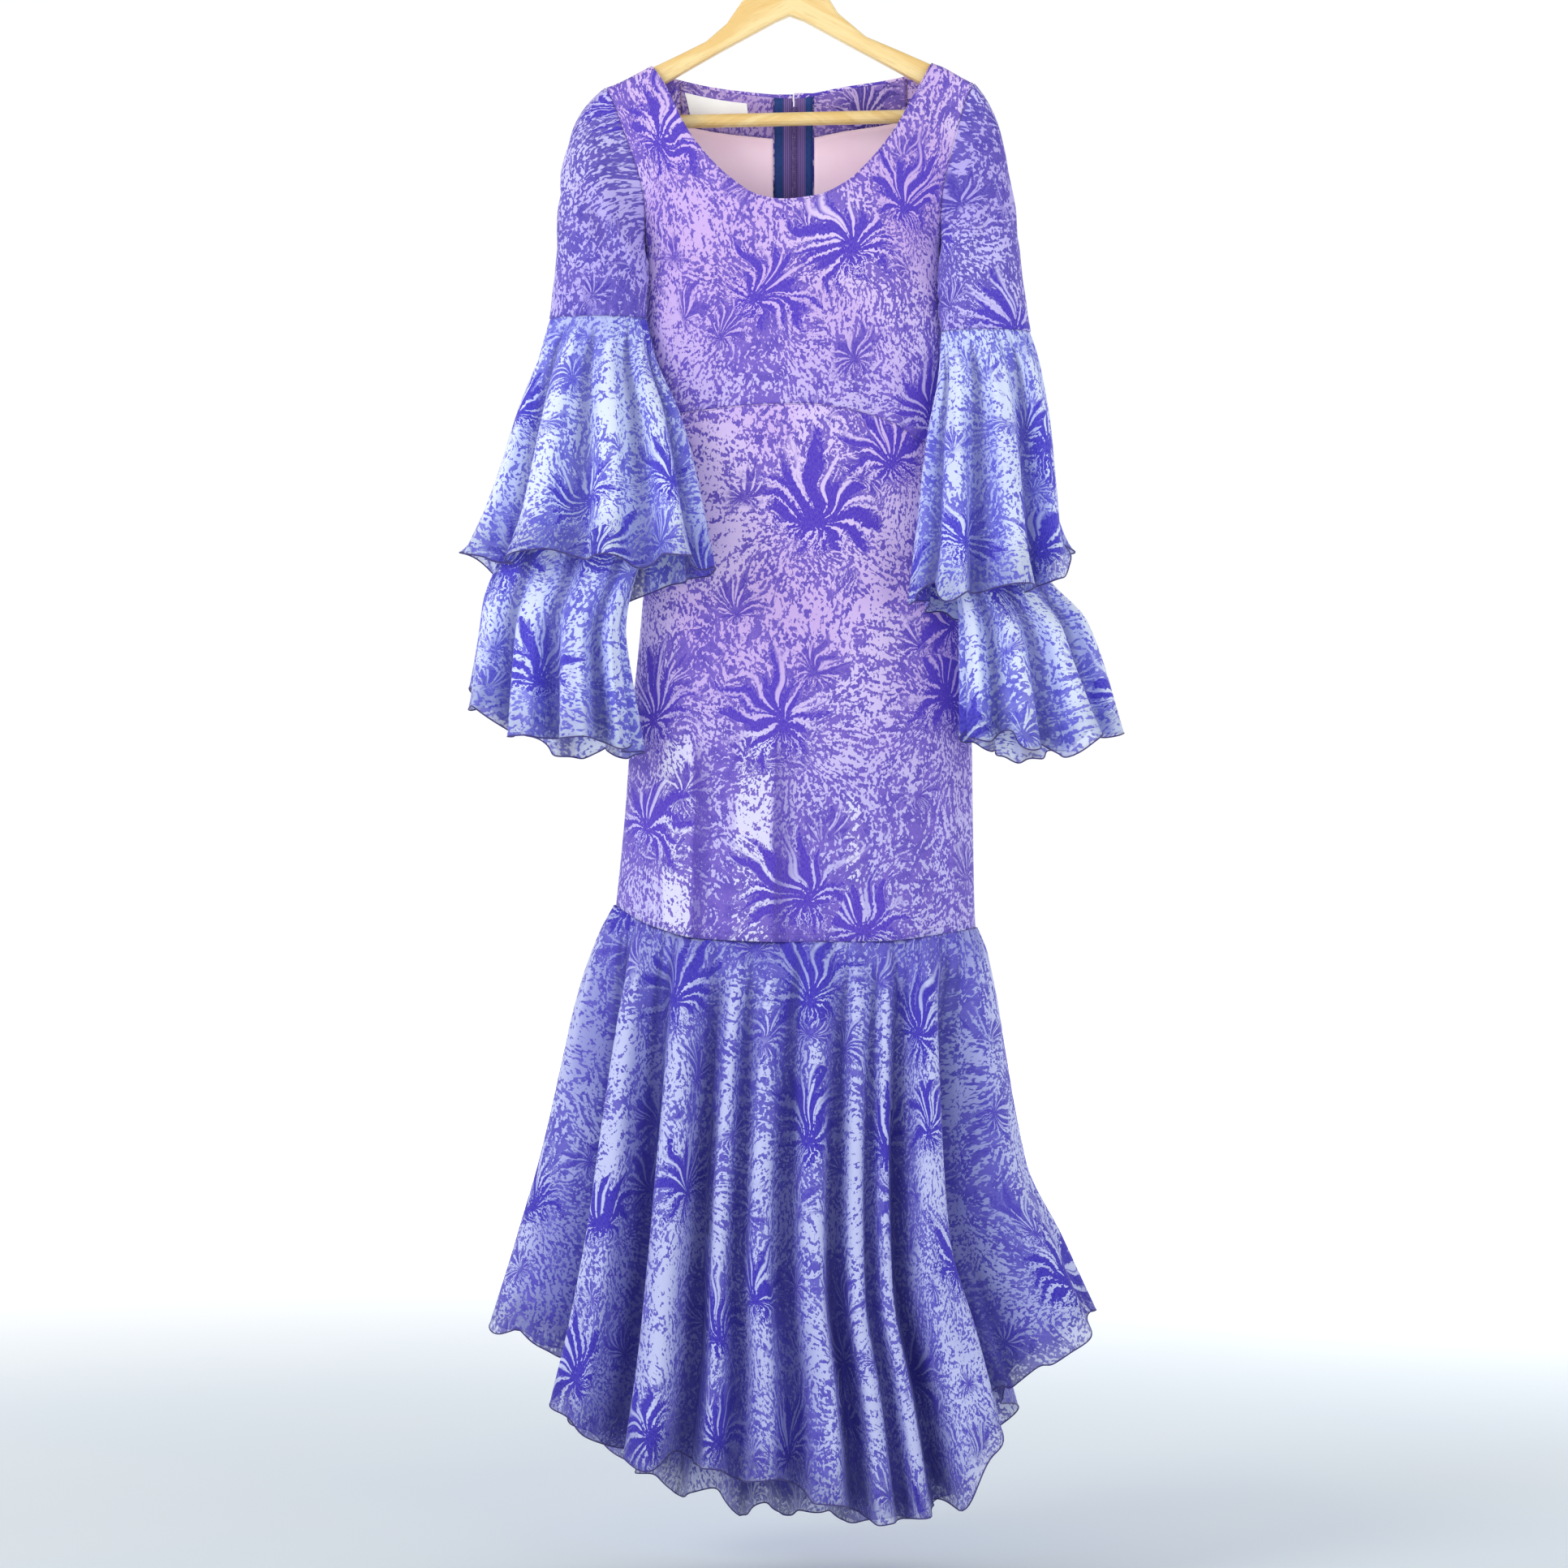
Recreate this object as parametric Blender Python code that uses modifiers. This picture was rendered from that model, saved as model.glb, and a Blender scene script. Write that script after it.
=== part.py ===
"""A long-sleeved dress with flutter-tiered sleeves and a waved hem flounce, hung on a wooden hanger.

Metres, +Z up. The front faces -Y, and left and right are the viewer's. The origin is the inner top of the
hook, where a rail carries the hanger. Every cloth piece is an open surface, worked out from the tables below
and thickened to a wall. A place on the body is given by s, which runs from -1 at its left edge to 1 at its
right edge, and by its height z. A place on a ring is given by turn, which runs from 0 at its left or outer
end over the front to 0.5 at the other end, and over the back to 1.
"""
import math
from bisect import bisect_right
from collections import namedtuple

import bmesh
import bpy
from mathutils import Matrix, Vector

# Thicknesses and gaps
WALL = 0.0012
FINE_WALL = 0.001
LABEL_WALL = 0.0009
GAP = 0.0003             # between a panel and what lies on it
SEAM = 0.0003            # from a cross seam to either panel
SHOULDER_GAP = 0.0007    # from the shoulder seam to either panel
SLEEVE_GAP = 0.0012      # from the armhole's edge to the sleeve
EDGE_IN = 0.001          # from the end of the shoulder table to a panel's edge
ROUNDNESS = 2.5          # of the body's section: 2 is an ellipse
SHARP = math.radians(50)

# The body: edges and half depths at each height. Down to the underarm the edges are the armholes and hold is
# how far from the middle plane they lie; below it the edges are the side seams.
Body = namedtuple("Body", "z left right front back hold")
BODY = (
    Body(-0.160, -0.190, 0.182, 0.036, 0.026, 0.0098),
    Body(-0.181, -0.185, 0.176, 0.040, 0.030, 0.0098),
    Body(-0.200, -0.1765, 0.1675, 0.043, 0.032, 0.0130),
    Body(-0.225, -0.168, 0.161, 0.046, 0.034, 0.0185),
    Body(-0.262, -0.155, 0.1515, 0.050, 0.036, 0.0240),
    Body(-0.290, -0.1475, 0.1455, 0.053, 0.038, 0.0235),
    Body(-0.318, -0.1455, 0.1435, 0.055, 0.040, 0.0180),
    Body(-0.337, -0.1455, 0.144, 0.056, 0.041, 0.0100),
    Body(-0.345, -0.146, 0.1445, 0.056, 0.042, 0.0),
    Body(-0.400, -0.1465, 0.1465, 0.061, 0.044, 0.0),
    Body(-0.450, -0.1455, 0.148, 0.059, 0.043, 0.0),
    Body(-0.505, -0.144, 0.149, 0.054, 0.042, 0.0),
    Body(-0.600, -0.143, 0.152, 0.052, 0.042, 0.0),
    Body(-0.714, -0.1504, 0.168, 0.058, 0.050, 0.0),
    Body(-0.800, -0.1590, 0.1745, 0.063, 0.057, 0.0),
    Body(-0.896, -0.1656, 0.1760, 0.066, 0.063, 0.0),
    Body(-0.986, -0.1744, 0.1775, 0.067, 0.066, 0.0),
    Body(-1.030, -0.1790, 0.1800, 0.067, 0.067, 0.0),
)
UNDERARM = -0.345
CAP_ROUND = 0.006        # drop over which the cloth rounds the top of the hanger's arm
ARMHOLE_SHARE = 0.85     # share of the section's half width that reaches the armhole's edge
ARMHOLE_FADE = 0.045     # height over which that share is reached
DRAPE = 0.07             # drop over which the panels fall away from the hanger

Line = namedtuple("Line", "x z")
SHOULDER = (
    Line(-0.186, -0.1838), Line(-0.170, -0.1772), Line(-0.1552, -0.1696), Line(-0.140, -0.1615),
    Line(-0.110, -0.1465), Line(-0.080, -0.1300), Line(0.080, -0.1330), Line(0.106, -0.1440),
    Line(0.136, -0.1585), Line(0.148, -0.1632), Line(0.1648, -0.1727), Line(0.178, -0.1795),
)
NECK_LEFT, NECK_RIGHT = -0.140, 0.136
FRONT_NECK = (
    Line(-0.140, -0.1615), Line(-0.1258, -0.1826), Line(-0.1093, -0.2186), Line(-0.0963, -0.2403),
    Line(-0.0638, -0.2760), Line(-0.033, -0.2955), Line(-0.010, -0.2990), Line(0.022, -0.2953),
    Line(0.0503, -0.2821), Line(0.0756, -0.2581), Line(0.0989, -0.2271), Line(0.1128, -0.2015),
    Line(0.1243, -0.1804), Line(0.136, -0.1585),
)
BACK_NECK = (
    Line(-0.140, -0.1615), Line(-0.118, -0.1712), Line(-0.0568, -0.1820), Line(0.0, -0.1862),
    Line(0.0512, -0.1782), Line(0.108, -0.1694), Line(0.136, -0.1585),
)

# Cross seams, by place across the body
Seam = namedtuple("Seam", "s front back")
EMPIRE_SEAM = (
    Seam(-1.0, -0.512, -0.512), Seam(-0.72, -0.506, -0.517), Seam(-0.3, -0.500, -0.522),
    Seam(0.05, -0.4985, -0.524), Seam(0.35, -0.504, -0.526), Seam(0.62, -0.515, -0.527),
    Seam(0.85, -0.5345, -0.531), Seam(1.0, -0.540, -0.540),
)
KNEE_SEAM = (
    Seam(-1.0, -0.988, -0.988), Seam(-0.8, -1.006, -1.006), Seam(-0.5, -1.019, -1.020),
    Seam(0.0, -1.022, -1.026), Seam(0.5, -1.021, -1.026), Seam(0.8, -1.015, -1.020),
    Seam(1.0, -1.010, -1.010),
)

# Soft folds of the front: a ridge where depth is positive, a trough where it is not. Each rises over rise on
# its left and falls over fall on its right.
Fold = namedtuple("Fold", "x_top x_end z_top z_end rise fall depth")
FRONT_FOLDS = (
    Fold(-0.060, -0.070, -0.405, -0.515, 0.016, 0.012, -0.0035),
    Fold(0.066, 0.074, -0.410, -0.520, 0.012, 0.016, -0.0030),
    Fold(-0.128, -0.112, -0.385, -0.530, 0.018, 0.010, 0.0030),
    Fold(-0.094, -0.099, -0.790, -1.060, 0.034, 0.010, 0.0080),
    Fold(-0.016, -0.0216, -0.810, -1.060, 0.042, 0.010, 0.0075),
    Fold(0.050, 0.060, -0.560, -0.800, 0.030, 0.030, 0.0040),
    Fold(0.085, 0.098, -0.840, -1.060, 0.026, 0.026, 0.0040),
)
BACK_FOLDS = (
    Fold(-0.070, -0.086, -0.780, -1.060, 0.030, 0.014, 0.0070),
    Fold(0.060, 0.080, -0.800, -1.060, 0.014, 0.034, 0.0070),
)

# Hem flounce: how far it has spread past the knee seam at each share of its drop, its wave depth, and the
# height of its hem all round
Flare = namedtuple("Flare", "drop left right deep wave")
FLARE = (
    Flare(0.0, 0.0, 0.0, 0.0, 0.0008),
    Flare(0.07, 0.009, 0.004, 0.009, 0.0050),
    Flare(0.2, 0.018, 0.004, 0.016, 0.0120),
    Flare(0.4, 0.027, 0.005, 0.023, 0.0200),
    Flare(0.6, 0.038, 0.012, 0.029, 0.0255),
    Flare(0.8, 0.058, 0.044, 0.035, 0.0290),
    Flare(1.0, 0.084, 0.076, 0.041, 0.0310),
)
Hem = namedtuple("Hem", "s front back")
FLOUNCE_HEM = (
    Hem(-1.0, -1.400, -1.400), Hem(-0.87, -1.450, -1.480), Hem(-0.68, -1.512, -1.545),
    Hem(-0.3, -1.527, -1.590), Hem(0.0, -1.542, -1.605), Hem(0.33, -1.572, -1.613),
    Hem(0.62, -1.574, -1.600), Hem(0.80, -1.482, -1.530), Hem(0.93, -1.444, -1.466),
    Hem(1.0, -1.390, -1.390),
)
FLOUNCE_FRONT_VALLEYS = (-0.90, -0.68, -0.37, -0.21, 0.01, 0.27, 0.43, 0.55, 0.82)
FLOUNCE_BACK_VALLEYS = (-0.88, -0.64, -0.47, -0.20, -0.04, 0.22, 0.50, 0.66, 0.90)
FLOUNCE_CURL = 0.0032
FOLD_POWER = 2.6         # over 2, waves have narrow valleys and broad crowns
WIDEST_WAVE = 1.25       # greatest size of a wave, as a share of the ring's mean one
PARTING = 0.00035        # from a side seam to either half of the flounce, as a share of the ring

# Sleeves: oval rings at each height, from the armhole to the elbow seam. outer and inner are the ends of the
# oval away from the body and towards it, middle is its distance in front of the middle plane.
Ring = namedtuple("Ring", "z outer inner middle deep")
SLEEVES = {
    "left": (
        Ring(-0.180, -0.2250, -0.149, 0.000, 0.024),
        Ring(-0.260, -0.2270, -0.147, 0.020, 0.028),
        Ring(-0.340, -0.2305, -0.1455, 0.031, 0.030),
        Ring(-0.414, -0.2374, -0.1488, 0.032, 0.029),
    ),
    "right": (
        Ring(-0.180, 0.2065, 0.1425, 0.000, 0.022),
        Ring(-0.260, 0.2115, 0.1415, 0.020, 0.026),
        Ring(-0.340, 0.2190, 0.1425, 0.032, 0.028),
        Ring(-0.427, 0.2300, 0.1494, 0.033, 0.028),
    ),
}
CAP_FILL = 0.13          # share of the sleeve's length in which the armhole loop opens to the full oval
ARM_LIFT = 0.0004        # of the sleeve's head above the armhole

# Flutter tiers: the ends of each ring in plan, its half depth between them and the depth of its waves
Tier = namedtuple("Tier", "drop outer_x outer_y inner_x inner_y deep wave")
TIERS = {
    "upper_left": (
        Tier(0.0, -0.2374, -0.032, -0.1488, -0.032, 0.0290, 0.0),
        Tier(0.15, -0.2460, -0.031, -0.1400, -0.048, 0.0310, 0.0025),
        Tier(0.40, -0.2620, -0.030, -0.1210, -0.076, 0.0310, 0.0070),
        Tier(0.70, -0.2800, -0.030, -0.1060, -0.094, 0.0320, 0.0105),
        Tier(1.0, -0.3020, -0.030, -0.0940, -0.104, 0.0340, 0.0140),
    ),
    "lower_left": (
        Tier(0.0, -0.2350, -0.032, -0.1512, -0.032, 0.0268, 0.0),
        Tier(0.10, -0.2450, -0.032, -0.1460, -0.045, 0.0255, 0.0),
        Tier(0.25, -0.2560, -0.034, -0.1340, -0.071, 0.0230, 0.0),
        Tier(0.45, -0.2710, -0.037, -0.1300, -0.083, 0.0210, 0.0),
        Tier(0.60, -0.2830, -0.038, -0.1540, -0.080, 0.0220, 0.0010),
        Tier(0.75, -0.2960, -0.034, -0.1720, -0.072, 0.0260, 0.0070),
        Tier(1.0, -0.2970, -0.030, -0.1660, -0.074, 0.0300, 0.0150),
    ),
    "upper_right": (
        Tier(0.0, 0.2300, -0.033, 0.1494, -0.033, 0.0280, 0.0),
        Tier(0.15, 0.2370, -0.033, 0.1460, -0.048, 0.0300, 0.0025),
        Tier(0.40, 0.2410, -0.034, 0.1400, -0.068, 0.0305, 0.0070),
        Tier(0.70, 0.2430, -0.035, 0.1350, -0.084, 0.0320, 0.0105),
        Tier(1.0, 0.2450, -0.035, 0.1310, -0.094, 0.0340, 0.0140),
    ),
    "lower_right": (
        Tier(0.0, 0.2276, -0.033, 0.1518, -0.033, 0.0258, 0.0),
        Tier(0.10, 0.2320, -0.034, 0.1500, -0.045, 0.0240, 0.0),
        Tier(0.25, 0.2355, -0.036, 0.1455, -0.063, 0.0222, 0.0),
        Tier(0.45, 0.2375, -0.039, 0.1470, -0.073, 0.0198, 0.0),
        Tier(0.60, 0.2400, -0.041, 0.1560, -0.076, 0.0200, 0.0005),
        Tier(0.75, 0.2680, -0.036, 0.1690, -0.076, 0.0250, 0.0070),
        Tier(1.0, 0.2970, -0.032, 0.1800, -0.074, 0.0290, 0.0150),
    ),
}
TIER_BACK = 0.4          # wave depth at the back of a tier, as a share of the front's
ELBOW = {"left": -0.414, "right": -0.427}
TIER_HEMS = {            # heights of the hem at the outer end, the front, the inner end and the back
    "upper_left": (-0.655, -0.652, -0.662, -0.690),
    "lower_left": (-0.795, -0.832, -0.838, -0.846),
    "upper_right": (-0.655, -0.684, -0.690, -0.704),
    "lower_right": (-0.815, -0.838, -0.822, -0.846),
}
TIER_VALLEYS = {
    "upper_left": (0.03, 0.13, 0.25, 0.36, 0.47, 0.58, 0.70, 0.81, 0.92),
    "lower_left": (0.04, 0.16, 0.27, 0.39, 0.50, 0.63, 0.76, 0.89),
    "upper_right": (0.05, 0.18, 0.32, 0.46, 0.59, 0.74, 0.90),
    "lower_right": (0.02, 0.14, 0.26, 0.38, 0.51, 0.64, 0.77, 0.90),
}
TIER_CURL = 0.0022
TIER_GAP = 0.0006

# Centre back: facing, lining, label and zip
TAPE_WIDTH = 0.0195
FACING_CUT = 0.06        # share of its first column that the facing leaves to the tape
TAPE_INSET = 0.03        # share of the tape column that the tape leaves at each edge
SLIT = 0.0005            # from the middle to either back half
CHAIN_WIDTH, CHAIN_THICK = 0.0060, 0.0014
LABEL_ROWS = {2: 0.3, 3: 0.55}           # rows of the left back, and the share past each
LABEL_COLUMNS = ((2, 0.4), (3, 0.0), (4, 0.0), (5, 0.0), (5, 0.5))
ZIP_SKIRT_ROWS = 4
SLIDER_DROP = 0.016
SLIDER_WIDE, SLIDER_HIGH, SLIDER_THICK = 0.0066, 0.0095, 0.0026
SLIDER_REST = 0.0002     # past the gap, so that the plate clears the curved cloth
LOOP_HIGH, LOOP_LONG, LOOP_WIDE, LOOP_WALL = 0.0034, 0.0070, 0.0016, 0.0008
LOOP_SINK, LOOP_CORNER = 0.0006, 0.0010
PIVOT_OUT, PIVOT_DROP = 0.0013, 0.0013   # from the slider's face and its middle
TAB_THICK, TAB_LONG, TAB_WIDE = 0.0010, 0.0240, 0.0062
TAB_LEAN = 0.07                          # past the slope of the cloth that it rests on
EYE_WIDE, EYE_TOP, EYE_TRIM, EYE_END, EYE_SIDE = 0.0028, 0.0006, 0.0001, 0.0040, 0.0010

# Hanger
HANGER_THICK = 0.014
HANGER_ROUND = 0.003
HANGER_TOP = (
    Line(-0.2000, -0.2120), Line(-0.1975, -0.2045), Line(-0.1930, -0.1980), Line(-0.1860, -0.1908),
    Line(-0.1700, -0.1805), Line(-0.1400, -0.1638), Line(-0.1100, -0.1495), Line(-0.0864, -0.1376),
    Line(-0.0660, -0.1200), Line(-0.0496, -0.0960), Line(-0.0340, -0.0800), Line(-0.0160, -0.0715),
    Line(0.0080, -0.0715), Line(0.0250, -0.0800), Line(0.0352, -0.0960), Line(0.0440, -0.1100),
    Line(0.0712, -0.1328), Line(0.1060, -0.1475), Line(0.1360, -0.1606), Line(0.1620, -0.1735),
    Line(0.1740, -0.1815), Line(0.1810, -0.1885), Line(0.1850, -0.1960), Line(0.1870, -0.2050),
)
HANGER_UNDER = (
    Line(0.1865, -0.2180), Line(0.1840, -0.2225), Line(0.1790, -0.2240), Line(0.1765, -0.2215),
    Line(0.1765, -0.2005), Line(0.1224, -0.1776), Line(0.0500, -0.1388), Line(0.0100, -0.1170),
    Line(-0.0040, -0.1120), Line(-0.0180, -0.1180), Line(-0.0700, -0.1462), Line(-0.1264, -0.1784),
    Line(-0.1850, -0.2085), Line(-0.1850, -0.2270), Line(-0.1870, -0.2295), Line(-0.1950, -0.2295),
    Line(-0.1990, -0.2240),
)
BAR_RADIUS = 0.0068
BAR_LEFT, BAR_RIGHT = (-0.1846, -0.2177), (0.1761, -0.2094)
HOOK_WIRE = 0.0019
HOOK_INNER = 0.020
HOOK_STEM_X = -0.004
HOOK_START, HOOK_SWEEP, HOOK_STEPS = -20, 215, 22     # degrees round the ring, from its left end
STEM_HIGH, STEM_STEPS = 0.018, 8
COLLAR_RADIUS, COLLAR_HIGH = 0.006, 0.004

# Columns and rows of the grids, and the steps over which slopes are read
NORMAL_STEP, RING_STEP = 0.002, 0.0005
LEAST_STEP = 0.35        # least width of a column beside an edge, as a share of a whole one
FRONT_STRAP, FRONT_ACROSS = 4, 16
BACK_STRAP, BACK_ACROSS = 3, 6
SKIRT_COLUMNS = 30
NECK_STEPS = (0.0016, 0.0045)            # extra columns beside the neck points
SLEEVE_COLUMNS, SLEEVE_ROWS = 20, 6
TIER_ROWS, FLOUNCE_ROWS = 5, 7
TIER_STEPS, FLOUNCE_STEPS = 5, 6
FIRST_DROPS = (0.0025, 0.007)            # drops of the first rows, which round the hanger's arms
BODICE_SHARES = (0.04, 0.10, 0.18, 0.27, 0.37, 0.47, 0.60, 0.73, 0.86, 1.0)
SKIRT_SHARES = tuple((i + 1) / 8 for i in range(8))
FACING_ROWS = 4
LINING_START, LINING_END = 0.03, 0.9     # of the lining in its first and last rows, as shares of a row


def read(table, key, column, where):
    """A column of a table at a place between its rows, on a smooth curve that never overshoots."""
    rows = sorted(table, key=lambda row: getattr(row, key))
    places = [getattr(row, key) for row in rows]
    values = [getattr(row, column) for row in rows]
    if where <= places[0]:
        return values[0]
    if where >= places[-1]:
        return values[-1]
    slopes = [(values[i + 1] - values[i]) / (places[i + 1] - places[i]) for i in range(len(rows) - 1)]

    def tangent(i):
        if i in (0, len(rows) - 1):
            return slopes[min(i, len(slopes) - 1)]
        before, after = slopes[i - 1], slopes[i]
        return 0.0 if before * after <= 0 else 2 * before * after / (before + after)

    i = bisect_right(places, where) - 1
    span = places[i + 1] - places[i]
    f = (where - places[i]) / span
    return (
        values[i] * (1 + 2 * f) * (1 - f) ** 2
        + values[i + 1] * f * f * (3 - 2 * f)
        + span * (tangent(i) * f * (1 - f) ** 2 - tangent(i + 1) * f * f * (1 - f))
    )


def mix(a, b, f):
    return a + (b - a) * f


def ease(f):
    f = min(max(f, 0.0), 1.0)
    return f * f * (3 - 2 * f)


def oval(s):
    """Half depth of the body's section at s, as a share of its greatest."""
    return (1 - min(abs(s), 1.0) ** ROUNDNESS) ** (1 / ROUNDNESS)


def across(s, z):
    return mix(read(BODY, "z", "left", z), read(BODY, "z", "right", z), (s + 1) / 2)


def place_of(x, z):
    left, right = read(BODY, "z", "left", z), read(BODY, "z", "right", z)
    return min(max(2 * (x - left) / (right - left) - 1, -1.0), 1.0)


def fold_height(folds, x, z):
    """How far the folds raise the cloth at a place."""
    height = 0.0
    for fold in folds:
        along = (z - fold.z_top) / (fold.z_end - fold.z_top)
        if not 0 < along < 1:
            continue
        offset = x - mix(fold.x_top, fold.x_end, along)
        width = fold.rise if offset < 0 else fold.fall
        if abs(offset) < 2 * width:
            start = math.sin(math.pi * min(along, 0.5))
            height += fold.depth * start * math.cos(offset / width * math.pi / 4) ** 2
    return height


def body_point(s, z, face):
    """A point of the body's cloth; face is -1 on the front and 1 on the back."""
    x = across(s, z)
    drop = read(SHOULDER, "x", "z", x) - z
    capped = min(max(drop / CAP_ROUND, 0.0), 1.0)
    cap = math.sqrt(1 - (1 - capped) ** 2)
    hold = read(BODY, "z", "hold", z)
    deep = read(BODY, "z", "front" if face < 0 else "back", z)
    fall = 1 - math.exp(-max(drop, 0.0) / DRAPE)
    share = mix(1.0, ARMHOLE_SHARE, ease((z - UNDERARM) / ARMHOLE_FADE))
    least = oval(share)
    bulge = (oval(s * share) - least) / (1 - least)
    y = cap * (hold + (deep - hold) * fall * bulge) + SHOULDER_GAP * (1 - cap)
    folds = FRONT_FOLDS if face < 0 else BACK_FOLDS
    y += fold_height(folds, x, z) * min(1.0, 3 * oval(s) ** 2)
    return Vector((x, face * max(y, GAP), z))


def body_inside(s, z, face, inward):
    """A point of the body's cloth moved towards the inside along the surface's normal."""
    step = NORMAL_STEP
    here = body_point(s, z, face)
    along = body_point(s + step, z, face) - body_point(s - step, z, face)
    down = body_point(s, z - step, face) - body_point(s, z + step, face)
    normal = along.cross(down).normalized()
    if normal.y * face > 0:
        normal.negate()
    return here + normal * inward


def collection(name):
    made = bpy.data.collections.new(name)
    bpy.context.scene.collection.children.link(made)
    return made


def material(name, colour, roughness, metallic=0.0):
    """A Principled material of one colour."""
    made = bpy.data.materials.new(name)
    made.use_nodes = True
    shader = made.node_tree.nodes["Principled BSDF"]
    shader.inputs["Base Color"].default_value = (*colour, 1.0)
    shader.inputs["Roughness"].default_value = roughness
    shader.inputs["Metallic"].default_value = metallic
    return made


def add(name, mesh, look):
    """An object of the dress, smooth but for its sharp edges."""
    mesh.materials.append(look)
    mesh.shade_smooth()
    mesh.set_sharp_from_angle(angle=SHARP)
    made = bpy.data.objects.new(name, mesh)
    GARMENT.objects.link(made)
    return made


def cloth(name, rows, look, wall=WALL, closed=False):
    """An open surface through rows of points, thickened evenly to both sides."""
    build = bmesh.new()
    grid = [[build.verts.new(point) for point in row] for row in rows]
    for upper, lower in zip(grid, grid[1:]):
        count = len(upper)
        for i in range(count if closed else count - 1):
            j = (i + 1) % count
            build.faces.new((upper[i], lower[i], lower[j], upper[j]))
    mesh = bpy.data.meshes.new(name)
    build.to_mesh(mesh)
    build.free()
    made = add(name, mesh, look)
    shell = made.modifiers.new("wall", "SOLIDIFY")
    shell.thickness = wall
    shell.offset = 0.0
    return made


Column = namedtuple("Column", "s_top z_top s_end z_end x", defaults=(None,))


def panel_places(columns, shares, lead=()):
    """Rows of places on a body panel. A column runs from its top place to its end place, or straight down at
    x where it has one. lead gives the drops of the first rows, and shares those of the rest in what is left."""
    grid = []
    first = (0.0,) + lead
    for j in range(len(first) + len(shares)):
        row = []
        for c in columns:
            if j < len(first):
                z = c.z_top - first[j]
            else:
                z = mix(c.z_top - first[-1], c.z_end, shares[j - len(first)])
            share = ease((c.z_top - z) / (c.z_top - c.z_end))
            row.append((mix(c.s_top, c.s_end, share) if c.x is None else place_of(c.x, z), z))
        grid.append(row)
    return grid


def panel(name, places, face, look):
    cloth(name, [[body_point(s, z, face) for s, z in row] for row in places], look)


def spread(count, low=-1.0, high=1.0):
    """Places across the body, closer together towards its edges."""
    first, last = math.asin(low), math.asin(high)
    return [math.sin(mix(first, last, i / count)) for i in range(count + 1)]


def bodice_front():
    """Front bodice, from the shoulder seams and the scoop neck down to the empire seam."""
    tops = []
    for i in range(FRONT_STRAP):
        x = mix(SHOULDER[0].x + EDGE_IN, NECK_LEFT, i / FRONT_STRAP)
        tops.append((x, read(SHOULDER, "x", "z", x)))
    low, high = NECK_LEFT + NECK_STEPS[-1], NECK_RIGHT - NECK_STEPS[-1]
    necks = [NECK_LEFT, NECK_LEFT + NECK_STEPS[0]]
    necks += [mix(low, high, mix(i / FRONT_ACROSS, (1 - math.cos(math.pi * i / FRONT_ACROSS)) / 2, 0.4))
              for i in range(FRONT_ACROSS + 1)]
    necks += [NECK_RIGHT - NECK_STEPS[0], NECK_RIGHT]
    tops += [(x, read(FRONT_NECK, "x", "z", x)) for x in necks]
    for i in range(FRONT_STRAP):
        x = mix(NECK_RIGHT, SHOULDER[-1].x - EDGE_IN, (i + 1) / FRONT_STRAP)
        tops.append((x, read(SHOULDER, "x", "z", x)))
    ends = spread(len(tops) - 1)
    columns = []
    for (x, z), s_end in zip(tops, ends):
        s_top = -1.0 if x == tops[0][0] else 1.0 if x == tops[-1][0] else place_of(x, z)
        columns.append(Column(s_top, z, s_end, read(EMPIRE_SEAM, "s", "front", s_end) + SEAM))
    panel("bodice_front", panel_places(columns, BODICE_SHARES, FIRST_DROPS), -1, LILAC)


def centre_columns(side, z_top, z_end):
    """The two columns beside the zip, at the slit and at the tape's outer edge."""
    return [Column(0, z_top, 0, z_end, side * x) for x in (SLIT, TAPE_WIDTH)]


def bodice_back(side, name):
    """One half of the back bodice, from the centre back to the side seam. Returns its places."""
    neck = NECK_LEFT if side < 0 else NECK_RIGHT
    end = SHOULDER[0].x + EDGE_IN if side < 0 else SHOULDER[-1].x - EDGE_IN
    near = side * TAPE_WIDTH
    necks = [mix(near, neck, i / BACK_ACROSS) for i in range(1, BACK_ACROSS)]
    necks += [neck - side * 1.4 * step for step in NECK_STEPS[::-1]]
    tops = [(x, read(BACK_NECK, "x", "z", x)) for x in necks]
    straps = [mix(neck, end, i / BACK_STRAP) for i in range(BACK_STRAP + 1)]
    tops += [(x, read(SHOULDER, "x", "z", x)) for x in straps]
    middle = read(EMPIRE_SEAM, "s", "back", 0.0) + SEAM
    columns = centre_columns(side, read(BACK_NECK, "x", "z", near), middle)
    first = math.asin(abs(place_of(near, middle)))
    for i, (x, z) in enumerate(tops):
        s_end = side * math.sin(mix(first, math.pi / 2, (i + 1) / len(tops)))
        s_top = side if i == len(tops) - 1 else place_of(x, z)
        columns.append(Column(s_top, z, s_end, read(EMPIRE_SEAM, "s", "back", s_end) + SEAM))
    places = panel_places(columns, BODICE_SHARES, FIRST_DROPS)
    panel(name, places, 1, LILAC)
    return places


def skirt_front():
    """Front of the narrow skirt, between the empire seam and the knee seam."""
    columns = [
        Column(s, read(EMPIRE_SEAM, "s", "front", s) - SEAM, s, read(KNEE_SEAM, "s", "front", s) + SEAM)
        for s in spread(SKIRT_COLUMNS)
    ]
    panel("skirt_front", panel_places(columns, SKIRT_SHARES), -1, LILAC)


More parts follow.
